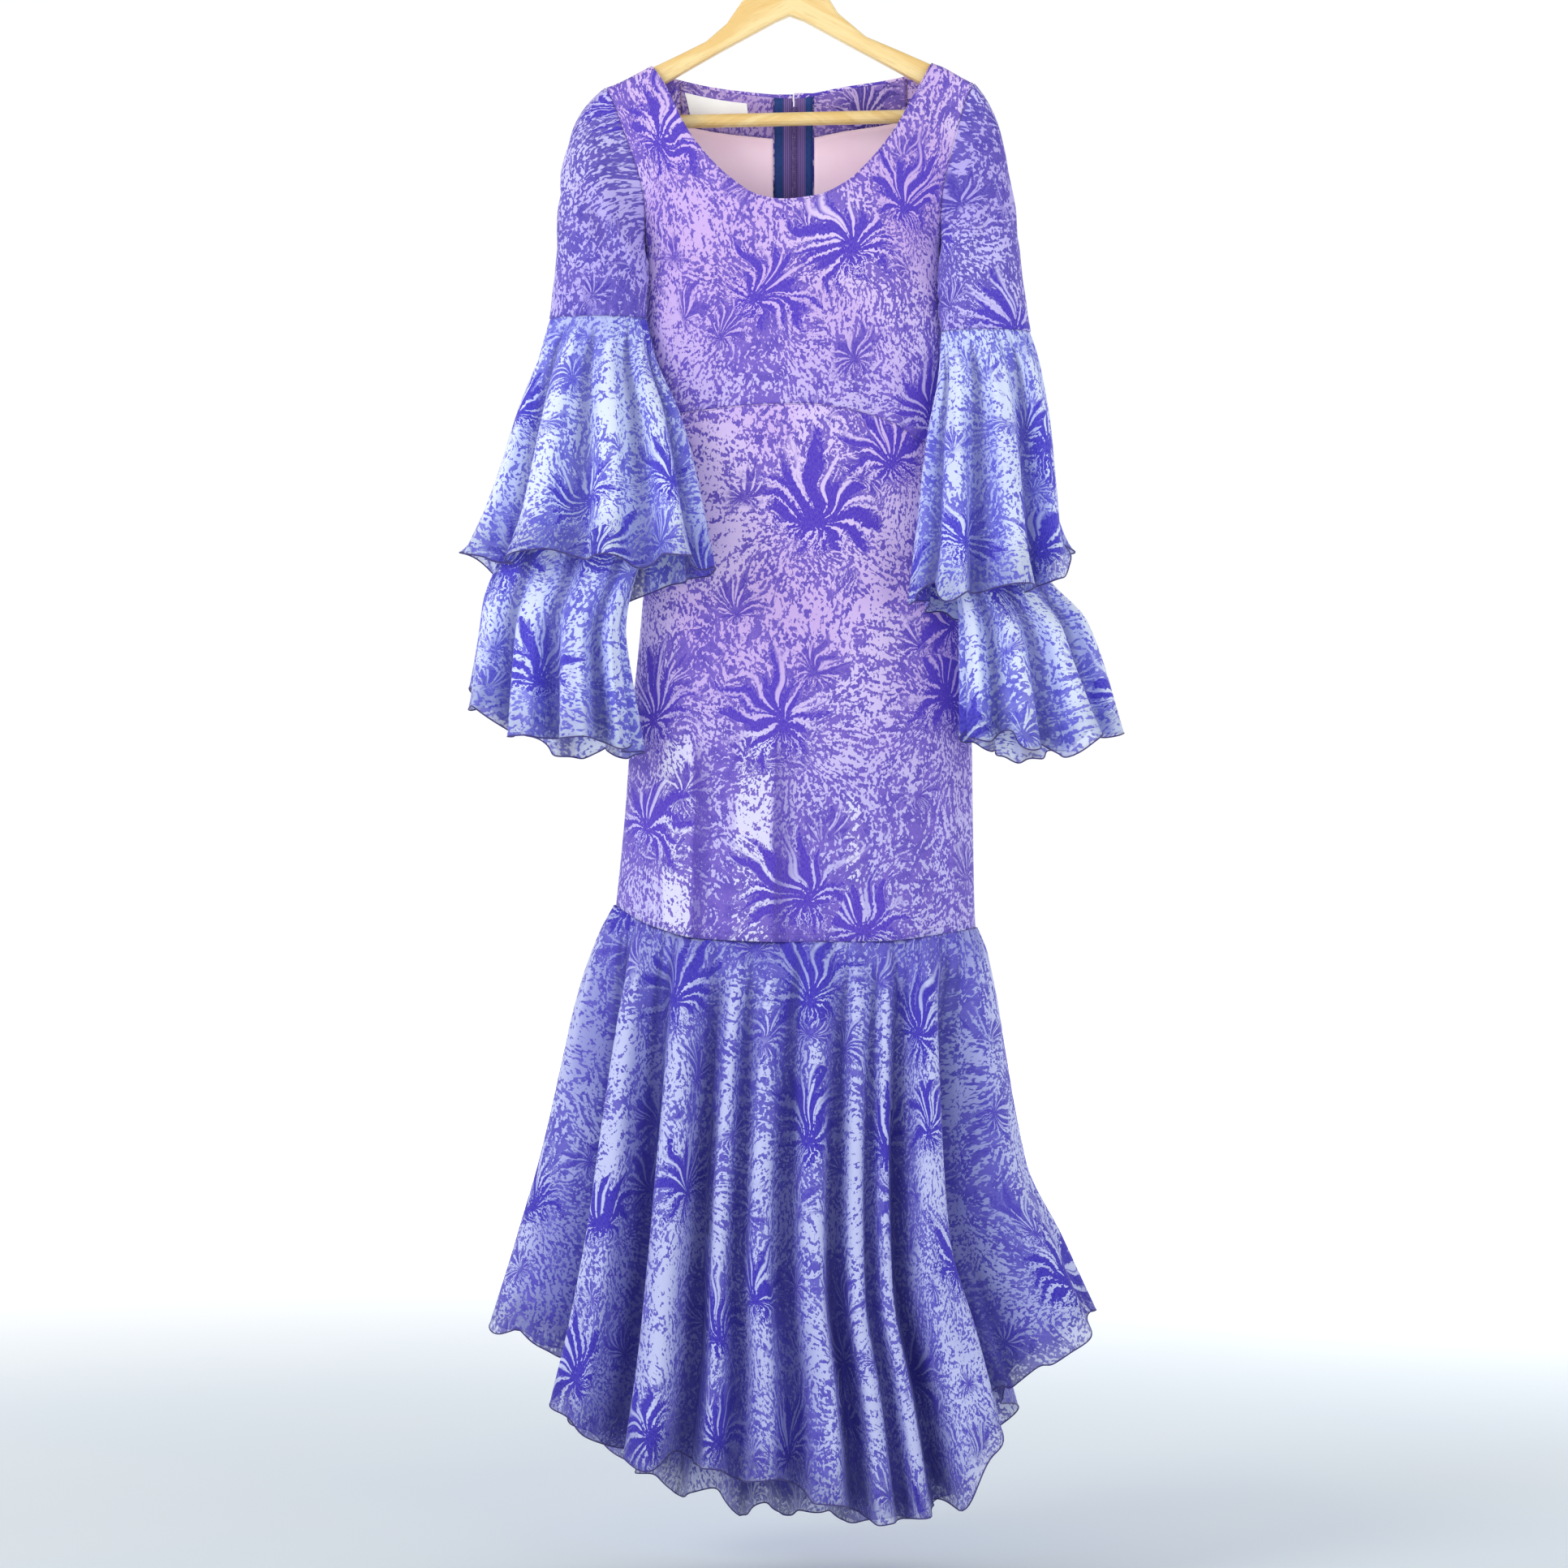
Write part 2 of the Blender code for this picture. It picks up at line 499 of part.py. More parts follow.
def skirt_back(side, name):
    """One half of the skirt's back, from the centre back to the side seam. Returns its places."""
    half = SKIRT_COLUMNS // 2 - 1
    z_top, z_end = (read(seam, "s", "back", 0.0) for seam in (EMPIRE_SEAM, KNEE_SEAM))
    columns = centre_columns(side, z_top - SEAM, z_end + SEAM)
    first = math.asin(abs(place_of(TAPE_WIDTH, z_top)))
    for i in range(1, half + 1):
        s = side * math.sin(mix(first, math.pi / 2, i / half))
        z_top, z_end = read(EMPIRE_SEAM, "s", "back", s) - SEAM, read(KNEE_SEAM, "s", "back", s) + SEAM
        columns.append(Column(s, z_top, s, z_end))
    places = panel_places(columns, SKIRT_SHARES)
    panel(name, places, 1, LILAC)
    return places


def armhole_point(side, angle):
    """The sleeve's edge beside the armhole. angle is 0 at the underarm and a quarter turn at the front."""
    edge = "left" if side < 0 else "right"
    tip = SHOULDER[0] if side < 0 else SHOULDER[-1]
    z = mix(UNDERARM, tip.z, (1 - math.cos(angle)) / 2)
    face = -1 if math.sin(angle) >= 0 else 1
    top = math.cos(angle) < -0.999
    under = ((1 + math.cos(angle)) / 2) ** 3
    x = read(BODY, "z", edge, z) if not top else tip.x
    drop = tip.z - z
    capped = min(max(drop / CAP_ROUND, 0.0), 1.0)
    y = math.sqrt(1 - (1 - capped) ** 2) * read(BODY, "z", "hold", z)
    return Vector((x + side * SLEEVE_GAP * (1 + under), face * y, z + ARM_LIFT * (1 - under)))


def sleeve(side, name):
    """A set-in sleeve, from the armhole down to the elbow seam."""
    word = "left" if side < 0 else "right"
    rings = SLEEVES[word]
    rows = []
    for j in range(SLEEVE_ROWS + 1):
        f = (j / SLEEVE_ROWS) ** 1.4
        opened = (1 - math.exp(-f / CAP_FILL)) / (1 - math.exp(-1 / CAP_FILL))
        row = []
        for i in range(SLEEVE_COLUMNS):
            angle = 2 * math.pi * i / SLEEVE_COLUMNS
            start = armhole_point(side, angle)
            z = mix(start.z, ELBOW[word] + SEAM, f)
            outer, inner = read(rings, "z", "outer", z), read(rings, "z", "inner", z)
            x = mix(outer, inner, (1 + math.cos(angle)) / 2)
            y = -read(rings, "z", "middle", z) - read(rings, "z", "deep", z) * math.sin(angle)
            row.append(Vector((mix(start.x, x, opened), mix(start.y, y, opened), z)))
        rows.append(row)
    cloth(name, rows, SLEEVE_LILAC, closed=True)


def phase_at(valleys, turn):
    """Angle within a wave, 0 in a valley, and the share of the ring that the wave takes."""
    turn %= 1.0
    i = bisect_right(valleys, turn) - 1
    low = valleys[i] if i >= 0 else valleys[-1] - 1
    high = valleys[i + 1] if i + 1 < len(valleys) else valleys[0] + 1
    return 2 * math.pi * (turn - low) / (high - low), high - low


def waved(base, turn, drop, valleys, wave, curl, floor):
    """A point of a waved ring. floor is 0 for waves to both sides of the base ring and 1 for outward ones."""
    here = base(turn, drop)
    along = base(turn + RING_STEP, drop) - base(turn - RING_STEP, drop)
    along.z = 0
    along.normalize()
    out = Vector((along.y, -along.x, 0))
    angle, share = phase_at(valleys, turn)
    size = min(WIDEST_WAVE, share * len(valleys))
    rise = wave * size * (floor + 1 - 2 * abs(math.cos(angle / 2)) ** FOLD_POWER)
    slip = curl * min(1.0, size) * math.sin(2 * angle)
    return here + out * rise + along * slip


def turns_of(valleys, steps, start=0.0, end=1.0):
    """Turns along a ring, with the same number of steps in each wave."""
    marks = [low + (high - low) * k / steps
             for low, high in zip(valleys, valleys[1:] + (valleys[0] + 1,)) for k in range(steps)]
    marks = sorted(m % 1.0 for m in marks)
    least = LEAST_STEP / (steps * len(valleys))
    inside = [m for m in marks if start + least < m < end - least]
    return [start] + inside + ([end] if end - start < 1 else [])


def turn_of(s, face):
    half = math.acos(-s) / (2 * math.pi)
    return half if face < 0 else 1 - half


def flounce_base(turn, drop):
    """The flounce's ring without its waves."""
    turn %= 1.0
    face = -1 if turn < 0.5 else 1
    column = "front" if face < 0 else "back"
    s = -math.cos(2 * math.pi * turn)
    z_seam = read(KNEE_SEAM, "s", column, s) - SEAM
    z = mix(z_seam, read(FLOUNCE_HEM, "s", column, s), drop)
    left = read(BODY, "z", "left", z_seam) - read(FLARE, "drop", "left", drop)
    right = read(BODY, "z", "right", z_seam) + read(FLARE, "drop", "right", drop)
    deep = read(BODY, "z", column, z_seam) + read(FLARE, "drop", "deep", drop)
    return Vector((mix(left, right, (s + 1) / 2), face * deep * oval(s), z))


def flounce_valleys():
    fronts = [turn_of(s, -1) for s in FLOUNCE_FRONT_VALLEYS]
    backs = [turn_of(s, 1) for s in FLOUNCE_BACK_VALLEYS]
    return tuple(sorted(fronts + backs))


def flounce_point(turn, drop, valleys):
    wave = read(FLARE, "drop", "wave", drop)
    return waved(flounce_base, turn, drop, valleys, wave, FLOUNCE_CURL * ease(2 * drop), 0)


def hem_flounce(face, name):
    """Front or back half of the hem flounce."""
    valleys = flounce_valleys()
    start, end = (0.0, 0.5) if face < 0 else (0.5, 1.0)
    turns = turns_of(valleys, FLOUNCE_STEPS, start, end)
    turns = [start + PARTING] + turns[1:-1] + [end - PARTING]
    rows = []
    for j in range(FLOUNCE_ROWS + 1):
        drop = (j / FLOUNCE_ROWS) ** 1.25
        rows.append([flounce_point(turn, drop, valleys) for turn in turns])
    cloth(name, rows, BLUE_LILAC)


def tier_base(name, turn, drop):
    """A flutter tier's ring without its waves: an oval between its outer and its inner end."""
    rows = TIERS[name]
    side = -1 if name.endswith("left") else 1
    angle = 2 * math.pi * turn
    outer = Vector((read(rows, "drop", "outer_x", drop), read(rows, "drop", "outer_y", drop), 0))
    inner = Vector((read(rows, "drop", "inner_x", drop), read(rows, "drop", "inner_y", drop), 0))
    line = (inner - outer).normalized()
    front = Vector((line.y, -line.x, 0)) * -side
    if front.y > 0:
        front.negate()
    flat = outer.lerp(inner, (1 - math.cos(angle)) / 2)
    point = flat + front * (read(rows, "drop", "deep", drop) * math.sin(angle))
    ends = TIER_HEMS[name]
    quarter = (turn % 1.0) * 4
    i = int(quarter)
    hem = mix(ends[i], ends[(i + 1) % 4], ease(quarter - i))
    top = ELBOW["left" if side < 0 else "right"] - SEAM - (TIER_GAP if name.startswith("lower") else 0)
    point.z = mix(top, hem, drop)
    return point


def tier_point(name, turn, drop):
    """A point of a flutter tier. The right ring runs the other way round, and is mirrored to wave outward."""
    side = -1 if name.endswith("left") else 1
    rows = TIERS[name]
    wave = read(rows, "drop", "wave", drop)
    curl = TIER_CURL * wave / rows[-1].wave
    valleys = TIER_VALLEYS[name]
    wave *= mix(TIER_BACK, 1.0, (1 + math.sin(2 * math.pi * turn)) / 2)
    if side < 0:
        return waved(lambda t, d: tier_base(name, t, d), turn, drop, valleys, wave, curl, 1)
    mirrored = tuple(sorted((1 - v) % 1.0 for v in valleys))
    return waved(lambda t, d: tier_base(name, 1 - t, d), 1 - turn, drop, mirrored, wave, curl, 1)


def sleeve_tier(name):
    """A flutter tier, sewn on at the elbow seam."""
    turns = turns_of(TIER_VALLEYS[name], TIER_STEPS)
    rows = []
    for j in range(TIER_ROWS + 1):
        drop = (j / TIER_ROWS) ** 1.15
        rows.append([tier_point(name, turn, drop) for turn in turns])
    step, side = name.split("_")
    cloth(f"sleeve_tier_{step}_{side}", rows, PALE_BLUE, closed=True)


def between(places, i, j, i_part=0.0, j_part=0.0):
    """A place between the columns i and i + 1 and the rows j and j + 1 of a panel."""
    upper, lower = places[j], places[min(j + 1, len(places) - 1)]
    right = min(i + 1, len(upper) - 1)
    top = [mix(a, b, i_part) for a, b in zip(upper[i], upper[right])]
    end = [mix(a, b, i_part) for a, b in zip(lower[i], lower[right])]
    return tuple(mix(a, b, j_part) for a, b in zip(top, end))


def inner_sheet(name, places, inward, look, wall):
    """A sheet on the inside of a back panel, from the panel's own places moved in."""
    cloth(name, [[body_inside(s, z, 1, inward) for s, z in row] for row in places], look, wall)


def back_inside(backs, skirts):
    """Facing, lining and zip tape on the inside of each back half, and the zip chain between the tapes."""
    inward = WALL / 2 + 2 * GAP + FINE_WALL / 2
    chain = []
    for word in ("left", "right"):
        places, skirt = backs[word], skirts[word]
        facing = [
            [between(places, 1, j, FACING_CUT)] + places[j][2:BACK_ACROSS + 1] for j in range(1, FACING_ROWS + 1)
        ]
        inner_sheet(f"neck_facing_{word}", facing, inward, FACING_PRINT, FINE_WALL)
        last = len(places[0]) - 2
        lining = []
        for j in range(FACING_ROWS, len(places)):
            row, lift = (j, 0.0) if j < len(places) - 1 else (j - 1, LINING_END)
            if j == FACING_ROWS:
                lift = LINING_START
            lining.append([between(places, 1, row, FACING_CUT, lift)]
                          + [between(places, i, row, 0.0, lift) for i in range(2, last + 1)])
        inner_sheet(f"lining_back_{word}", lining, inward, PINK, FINE_WALL)
        long = [row[:2] for row in places] + [row[:2] for row in skirt[1:ZIP_SKIRT_ROWS + 1]]
        tape = [[between(long, 0, j, part) for part in (TAPE_INSET, 1 - TAPE_INSET)] for j in range(1, len(long))]
        inner_sheet(f"zip_tape_{word}", tape, inward, TAPE_BLUE, FINE_WALL)
        chain.append([between(long, 0, j, CHAIN_WIDTH / 2 / TAPE_WIDTH) for j in range(2, len(long))])
    chain_in = inward + FINE_WALL / 2 + GAP + CHAIN_THICK / 2
    inner_sheet("zip_chain", list(zip(*chain)), chain_in, COIL_MAUVE, CHAIN_THICK)


def label(places):
    """A blank label on the left facing, from the left back's own places."""
    rows = []
    for j in LABEL_ROWS:
        rows.append([between(places, i, j, shift, LABEL_ROWS[j]) for i, shift in LABEL_COLUMNS])
    rows.insert(1, [between(places, i, 3, shift, 0.0) for i, shift in LABEL_COLUMNS])
    label_in = WALL / 2 + 2 * GAP + FINE_WALL + GAP + LABEL_WALL / 2
    inner_sheet("label", rows, label_in, WHITE, LABEL_WALL)


def slider_frame():
    """The slider's middle on the cloth of the back, the cloth's slope there and the plate's height above it."""
    z = read(BACK_NECK, "x", "z", 0.0) - SLIDER_DROP
    reach = SLIDER_HIGH / 2
    upper, lower = (body_point(place_of(0, edge), edge, 1) for edge in (z + reach, z - reach))
    slope = math.atan2(lower.y - upper.y, upper.z - lower.z)
    out = max(upper.y, lower.y, body_point(place_of(0, z), z, 1).y)
    middle = Vector((0.0, (upper.y + lower.y) / 2, z))
    bulge = out - max(upper.y, lower.y)
    return middle, slope, WALL / 2 + GAP + max(bulge, 0) + SLIDER_REST


def flat_outline(name, outlines, thick, round_by=0.0):
    """A plate from closed outlines in the XZ plane, holes among them, centred on Y."""
    curve = bpy.data.curves.new(name, "CURVE")
    curve.dimensions = "2D"
    curve.fill_mode = "BOTH"
    curve.extrude = thick / 2 - round_by
    curve.bevel_depth = round_by
    curve.bevel_resolution = 1
    curve.offset = -round_by
    for outline in outlines:
        spline = curve.splines.new("POLY")
        spline.points.add(len(outline) - 1)
        for point, (x, z) in zip(spline.points, outline):
            point.co = (x, z, 0.0, 1.0)
        spline.use_cyclic_u = True
    return curve


def zip_slider():
    """The slider: a plate with a loop on it, tilted with the cloth. Cloth and zip are shown closed."""
    middle, slope, lift = slider_frame()
    plate = bmesh.new()
    bmesh.ops.create_cube(plate, size=1.0)
    bmesh.ops.scale(plate, vec=(SLIDER_WIDE, SLIDER_THICK, SLIDER_HIGH), verts=plate.verts)
    bmesh.ops.translate(plate, vec=(0, lift + SLIDER_THICK / 2, 0), verts=plate.verts)
    mesh = bpy.data.meshes.new("zip_slider")
    plate.to_mesh(mesh)
    plate.free()
    slider = add("zip_slider", mesh, PEARL_METAL)

    face = lift + SLIDER_THICK
    loop = bmesh.new()
    half, high, wall = LOOP_LONG / 2, LOOP_HIGH, LOOP_WALL
    sink, corner = LOOP_SINK, LOOP_CORNER
    outer = [(-half, -sink), (-half, high - corner), (-half + corner, high), (half - corner, high),
             (half, high - corner), (half, -sink)]
    inner = [(half - wall, -sink), (half - wall, high - wall), (wall - half, high - wall), (wall - half, -sink)]
    ring = [loop.verts.new((-LOOP_WIDE / 2, face + y, z)) for z, y in outer + inner]
    side_face = loop.faces.new(ring)
    pushed = bmesh.ops.extrude_face_region(loop, geom=[side_face])
    moved = [v for v in pushed["geom"] if isinstance(v, bmesh.types.BMVert)]
    bmesh.ops.translate(loop, vec=(LOOP_WIDE, 0, 0), verts=moved)
    bmesh.ops.recalc_face_normals(loop, faces=loop.faces)
    loop_mesh = bpy.data.meshes.new("zip_loop")
    loop.to_mesh(loop_mesh)
    loop.free()
    cutter = bpy.data.objects.new("zip_loop", loop_mesh)
    CUTTERS.objects.link(cutter)
    cutter.hide_render = True
    cutter.display_type = "WIRE"
    for piece in (slider, cutter):
        piece.location = middle
        piece.rotation_euler = (slope, 0, 0)
    union = slider.modifiers.new("loop", "BOOLEAN")
    union.operation = "UNION"
    union.object = cutter
    return middle, slope, face


def zip_pull_tab(middle, slope, face):
    """The pull tab, hanging from the slider's loop. Its origin is on the axis that it swings about."""
    turn = Matrix.Rotation(slope, 3, "X")
    pivot = middle + turn @ Vector((0, face + PIVOT_OUT, -PIVOT_DROP))
    half, side = EYE_WIDE / 2, EYE_SIDE
    wide, rim, crown = half + side, EYE_TOP, EYE_TOP - EYE_TRIM
    end = TAB_LONG - TAB_WIDE / 2
    outline = [(-wide, crown), (-wide, -EYE_END), (-TAB_WIDE / 2, -end)]
    outline += [
        (-TAB_WIDE / 2 * math.cos(a), -end - TAB_WIDE / 2 * math.sin(a))
        for a in (math.pi * k / 8 for k in range(1, 8))
    ]
    outline += [(TAB_WIDE / 2, -end), (wide, -EYE_END), (wide, crown)]
    hole = [(-half, -rim), (-half, -EYE_END), (half, -EYE_END), (half, -rim)]
    curve = flat_outline("zip_pull_tab", (outline, hole), TAB_THICK)
    curve.materials.append(PEARL_METAL)
    tab = bpy.data.objects.new("zip_pull_tab", curve)
    GARMENT.objects.link(tab)
    tab.location = pivot
    tab.rotation_euler = (math.pi / 2 + slope + TAB_LEAN, 0, 0)
    return pivot


def hanger():
    """Flat wooden arms with a bar between them, and a wire hook that stands on the head by a collar."""
    outline = [(p.x, p.z) for p in HANGER_TOP + HANGER_UNDER]
    curve = flat_outline("hanger_arms", (outline,), HANGER_THICK, HANGER_ROUND)
    curve.materials.append(PALE_WOOD)
    arms = bpy.data.objects.new("hanger_arms", curve)
    GARMENT.objects.link(arms)
    arms.rotation_euler = (math.pi / 2, 0, 0)

    (x0, z0), (x1, z1) = BAR_LEFT, BAR_RIGHT
    length, tilt = math.hypot(x1 - x0, z1 - z0), math.atan2(z1 - z0, x1 - x0)
    bpy.ops.mesh.primitive_cylinder_add(
        vertices=16, radius=BAR_RADIUS, depth=length,
        location=((x0 + x1) / 2, 0, (z0 + z1) / 2), rotation=(0, math.pi / 2 - tilt, 0))
    bar = bpy.context.object
    bar.name = bar.data.name = "hanger_bar"
    bar.data.materials.append(PALE_WOOD)
    bar.data.shade_smooth()
    bar.data.set_sharp_from_angle(angle=SHARP)
    for old in bar.users_collection:
        old.objects.unlink(bar)
    GARMENT.objects.link(bar)

    head = read(HANGER_TOP, "x", "z", HOOK_STEM_X)
    bpy.ops.mesh.primitive_cylinder_add(
        vertices=20, radius=COLLAR_RADIUS, depth=COLLAR_HIGH,
        location=(HOOK_STEM_X, 0, head + GAP + COLLAR_HIGH / 2))
    collar = bpy.context.object
    collar.name = collar.data.name = "hanger_hook"
    collar.data.materials.append(BRIGHT_METAL)
    for old in collar.users_collection:
        old.objects.unlink(collar)
    GARMENT.objects.link(collar)

    radius = HOOK_INNER + HOOK_WIRE
    route = [Vector((-radius * math.cos(a), 0, -HOOK_INNER + radius * math.sin(a)))
             for a in (math.radians(HOOK_START + HOOK_SWEEP * k / HOOK_STEPS) for k in range(HOOK_STEPS + 1))]
    low, stem_top = route[-1], Vector((HOOK_STEM_X, 0, head + STEM_HIGH))
    for k in range(1, STEM_STEPS):
        f = k / STEM_STEPS
        route.append(Vector((mix(low.x, stem_top.x, ease(f)), 0, mix(low.z, stem_top.z, f))))
    route += [stem_top, Vector((HOOK_STEM_X, 0, head + GAP + COLLAR_HIGH / 2))]
    wire = bpy.data.curves.new("hook_wire", "CURVE")
    wire.dimensions = "3D"
    wire.bevel_depth = HOOK_WIRE
    wire.bevel_resolution = 2
    wire.use_fill_caps = True
    spline = wire.splines.new("POLY")
    spline.points.add(len(route) - 1)
    for point, place in zip(spline.points, route):
        point.co = (*place, 1.0)
    drawn = bpy.data.objects.new("hook_wire", wire)
    CUTTERS.objects.link(drawn)
    bpy.context.view_layer.update()
    solid = bpy.data.meshes.new_from_object(drawn.evaluated_get(bpy.context.evaluated_depsgraph_get()))
    bpy.data.objects.remove(drawn)
    weld = bmesh.new()
    weld.from_mesh(solid)
    bmesh.ops.remove_doubles(weld, verts=weld.verts, dist=0.00001)
    bmesh.ops.recalc_face_normals(weld, faces=weld.faces)
    weld.to_mesh(solid)
    weld.free()
    cutter = bpy.data.objects.new("hook_wire", solid)
    CUTTERS.objects.link(cutter)
    cutter.hide_render = True
    cutter.display_type = "WIRE"
    union = collar.modifiers.new("wire", "BOOLEAN")
    union.operation = "UNION"
    union.object = cutter


for old in list(bpy.data.objects):
    bpy.data.objects.remove(old)
GARMENT = collection("dress_on_hanger")
CUTTERS = collection("cutters")
LILAC = material("lilac_print", (0.42, 0.32, 0.68), 0.75)
SLEEVE_LILAC = material("sleeve_print", (0.38, 0.34, 0.74), 0.75)
PALE_BLUE = material("tier_print", (0.45, 0.48, 0.82), 0.75)
BLUE_LILAC = material("flounce_print", (0.28, 0.28, 0.62), 0.75)
FACING_PRINT = material("facing_print", (0.35, 0.30, 0.62), 0.8)
PINK = material("pink_lining", (0.80, 0.60, 0.74), 0.7)
TAPE_BLUE = material("blue_tape", (0.01, 0.045, 0.22), 0.8)
COIL_MAUVE = material("mauve_coil", (0.16, 0.09, 0.31), 0.6)
WHITE = material("white_label", (0.85, 0.85, 0.88), 0.7)
PALE_WOOD = material("pale_wood", (0.80, 0.62, 0.34), 0.5)
PEARL_METAL = material("lilac_enamel", (0.35, 0.28, 0.60), 0.35, 0.3)
BRIGHT_METAL = material("bright_metal", (0.75, 0.75, 0.76), 0.25, 1.0)

bodice_front()
skirt_front()
backs, skirts = {}, {}
for direction, word in ((-1, "left"), (1, "right")):
    backs[word] = bodice_back(direction, f"bodice_back_{word}")
    skirts[word] = skirt_back(direction, f"skirt_back_{word}")
    sleeve(direction, f"sleeve_{word}")
hem_flounce(-1, "hem_flounce_front")
hem_flounce(1, "hem_flounce_back")
for tier_name in TIERS:
    sleeve_tier(tier_name)
back_inside(backs, skirts)
label(backs["left"])
zip_pull_tab(*zip_slider())
hanger()
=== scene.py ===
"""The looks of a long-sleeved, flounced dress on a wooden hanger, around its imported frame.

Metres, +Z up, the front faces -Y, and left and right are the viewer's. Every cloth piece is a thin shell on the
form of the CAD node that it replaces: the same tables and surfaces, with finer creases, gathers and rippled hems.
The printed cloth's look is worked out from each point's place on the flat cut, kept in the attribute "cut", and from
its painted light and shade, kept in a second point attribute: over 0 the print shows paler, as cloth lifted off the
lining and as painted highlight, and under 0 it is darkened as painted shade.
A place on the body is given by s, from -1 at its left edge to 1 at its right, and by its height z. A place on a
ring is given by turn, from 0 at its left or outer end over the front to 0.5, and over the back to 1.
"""
import math
from bisect import bisect_right
from collections import namedtuple

import bpy
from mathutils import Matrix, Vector, noise


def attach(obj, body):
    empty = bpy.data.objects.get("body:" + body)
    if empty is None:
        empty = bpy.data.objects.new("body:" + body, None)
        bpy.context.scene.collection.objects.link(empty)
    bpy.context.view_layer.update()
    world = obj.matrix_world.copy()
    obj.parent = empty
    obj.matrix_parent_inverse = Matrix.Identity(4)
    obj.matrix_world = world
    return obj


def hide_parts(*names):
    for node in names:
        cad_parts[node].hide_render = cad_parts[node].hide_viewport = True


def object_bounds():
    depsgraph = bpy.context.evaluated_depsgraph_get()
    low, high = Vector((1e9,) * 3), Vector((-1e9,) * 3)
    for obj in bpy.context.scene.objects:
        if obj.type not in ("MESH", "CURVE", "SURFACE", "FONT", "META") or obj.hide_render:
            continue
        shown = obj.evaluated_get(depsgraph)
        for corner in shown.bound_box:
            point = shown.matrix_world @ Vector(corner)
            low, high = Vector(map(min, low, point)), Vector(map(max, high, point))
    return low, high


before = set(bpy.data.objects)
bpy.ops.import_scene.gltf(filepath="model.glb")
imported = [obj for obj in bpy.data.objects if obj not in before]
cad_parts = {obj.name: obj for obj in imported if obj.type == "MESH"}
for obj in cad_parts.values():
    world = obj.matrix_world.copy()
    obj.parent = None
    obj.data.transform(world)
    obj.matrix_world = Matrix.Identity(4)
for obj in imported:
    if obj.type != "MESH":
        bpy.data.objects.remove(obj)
CAD_BOX = [list(corner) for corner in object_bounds()]

# Cloth and gaps
WALL = 0.0008            # of the shown cloth
THIN = 0.0005
GAP = 0.0003             # between a panel and what lies on it
SEAM = 0.0001            # from a cross seam to either panel
SHOULDER_GAP = 0.0007    # from the shoulder seam to either panel
SLEEVE_GAP = 0.0006      # from the armhole's edge to the sleeve
EDGE_IN = 0.001          # from the end of the shoulder table to a panel's edge
ROUNDNESS = 2.5          # of the body's section: 2 is an ellipse
TAPE_WIDTH, SLIT = 0.0195, 0.0005

# The body: edges and half depths at each height. Down to the underarm the edges are the armholes and hold is
# how far from the middle plane they lie; below it the edges are the side seams.
Body = namedtuple("Body", "z left right front back hold")
BODY = (
    Body(-0.160, -0.190, 0.182, 0.036, 0.026, 0.0098),
    Body(-0.181, -0.185, 0.176, 0.040, 0.030, 0.0098),
    Body(-0.200, -0.1765, 0.1675, 0.043, 0.032, 0.0130),
    Body(-0.225, -0.168, 0.161, 0.046, 0.034, 0.0185),
    Body(-0.262, -0.155, 0.1515, 0.050, 0.036, 0.0240),
    Body(-0.290, -0.1475, 0.1455, 0.053, 0.038, 0.0235),
    Body(-0.318, -0.1455, 0.1435, 0.055, 0.040, 0.0180),
    Body(-0.337, -0.1455, 0.144, 0.056, 0.041, 0.0100),
    Body(-0.345, -0.146, 0.1445, 0.056, 0.042, 0.0),
    Body(-0.400, -0.1465, 0.1465, 0.061, 0.044, 0.0),
    Body(-0.450, -0.1455, 0.148, 0.059, 0.043, 0.0),
    Body(-0.505, -0.144, 0.149, 0.054, 0.042, 0.0),
    Body(-0.600, -0.143, 0.152, 0.052, 0.042, 0.0),
    Body(-0.714, -0.1504, 0.168, 0.058, 0.050, 0.0),
    Body(-0.800, -0.1590, 0.1745, 0.063, 0.057, 0.0),
    Body(-0.896, -0.1656, 0.1760, 0.066, 0.063, 0.0),
    Body(-0.986, -0.1744, 0.1775, 0.067, 0.066, 0.0),
    Body(-1.030, -0.1790, 0.1800, 0.067, 0.067, 0.0),
)
UNDERARM = -0.345
CAP_ROUND = 0.006        # drop over which the cloth rounds the top of the hanger's arm
ARMHOLE_SHARE = 0.85     # share of the section's half width that reaches the armhole's edge
ARMHOLE_FADE = 0.045     # height over which that share is reached
DRAPE = 0.07             # drop over which the panels fall away from the hanger

Line = namedtuple("Line", "x z")
SHOULDER = (
    Line(-0.186, -0.1838), Line(-0.170, -0.1772), Line(-0.1552, -0.1696), Line(-0.140, -0.1615),
    Line(-0.110, -0.1465), Line(-0.080, -0.1300), Line(0.080, -0.1330), Line(0.106, -0.1440),
    Line(0.136, -0.1585), Line(0.148, -0.1632), Line(0.1648, -0.1727), Line(0.178, -0.1795),
)
NECK_LEFT, NECK_RIGHT = -0.140, 0.136
FRONT_NECK = (
    Line(-0.140, -0.1615), Line(-0.1258, -0.1826), Line(-0.1093, -0.2186), Line(-0.0963, -0.2403),
    Line(-0.0638, -0.2760), Line(-0.033, -0.2955), Line(-0.010, -0.2990), Line(0.022, -0.2953),
    Line(0.0503, -0.2821), Line(0.0756, -0.2581), Line(0.0989, -0.2271), Line(0.1128, -0.2015),
    Line(0.1243, -0.1804), Line(0.136, -0.1585),
)
BACK_NECK = (
    Line(-0.140, -0.1615), Line(-0.118, -0.1712), Line(-0.0568, -0.1820), Line(0.0, -0.1862),
    Line(0.0512, -0.1782), Line(0.108, -0.1694), Line(0.136, -0.1585),
)

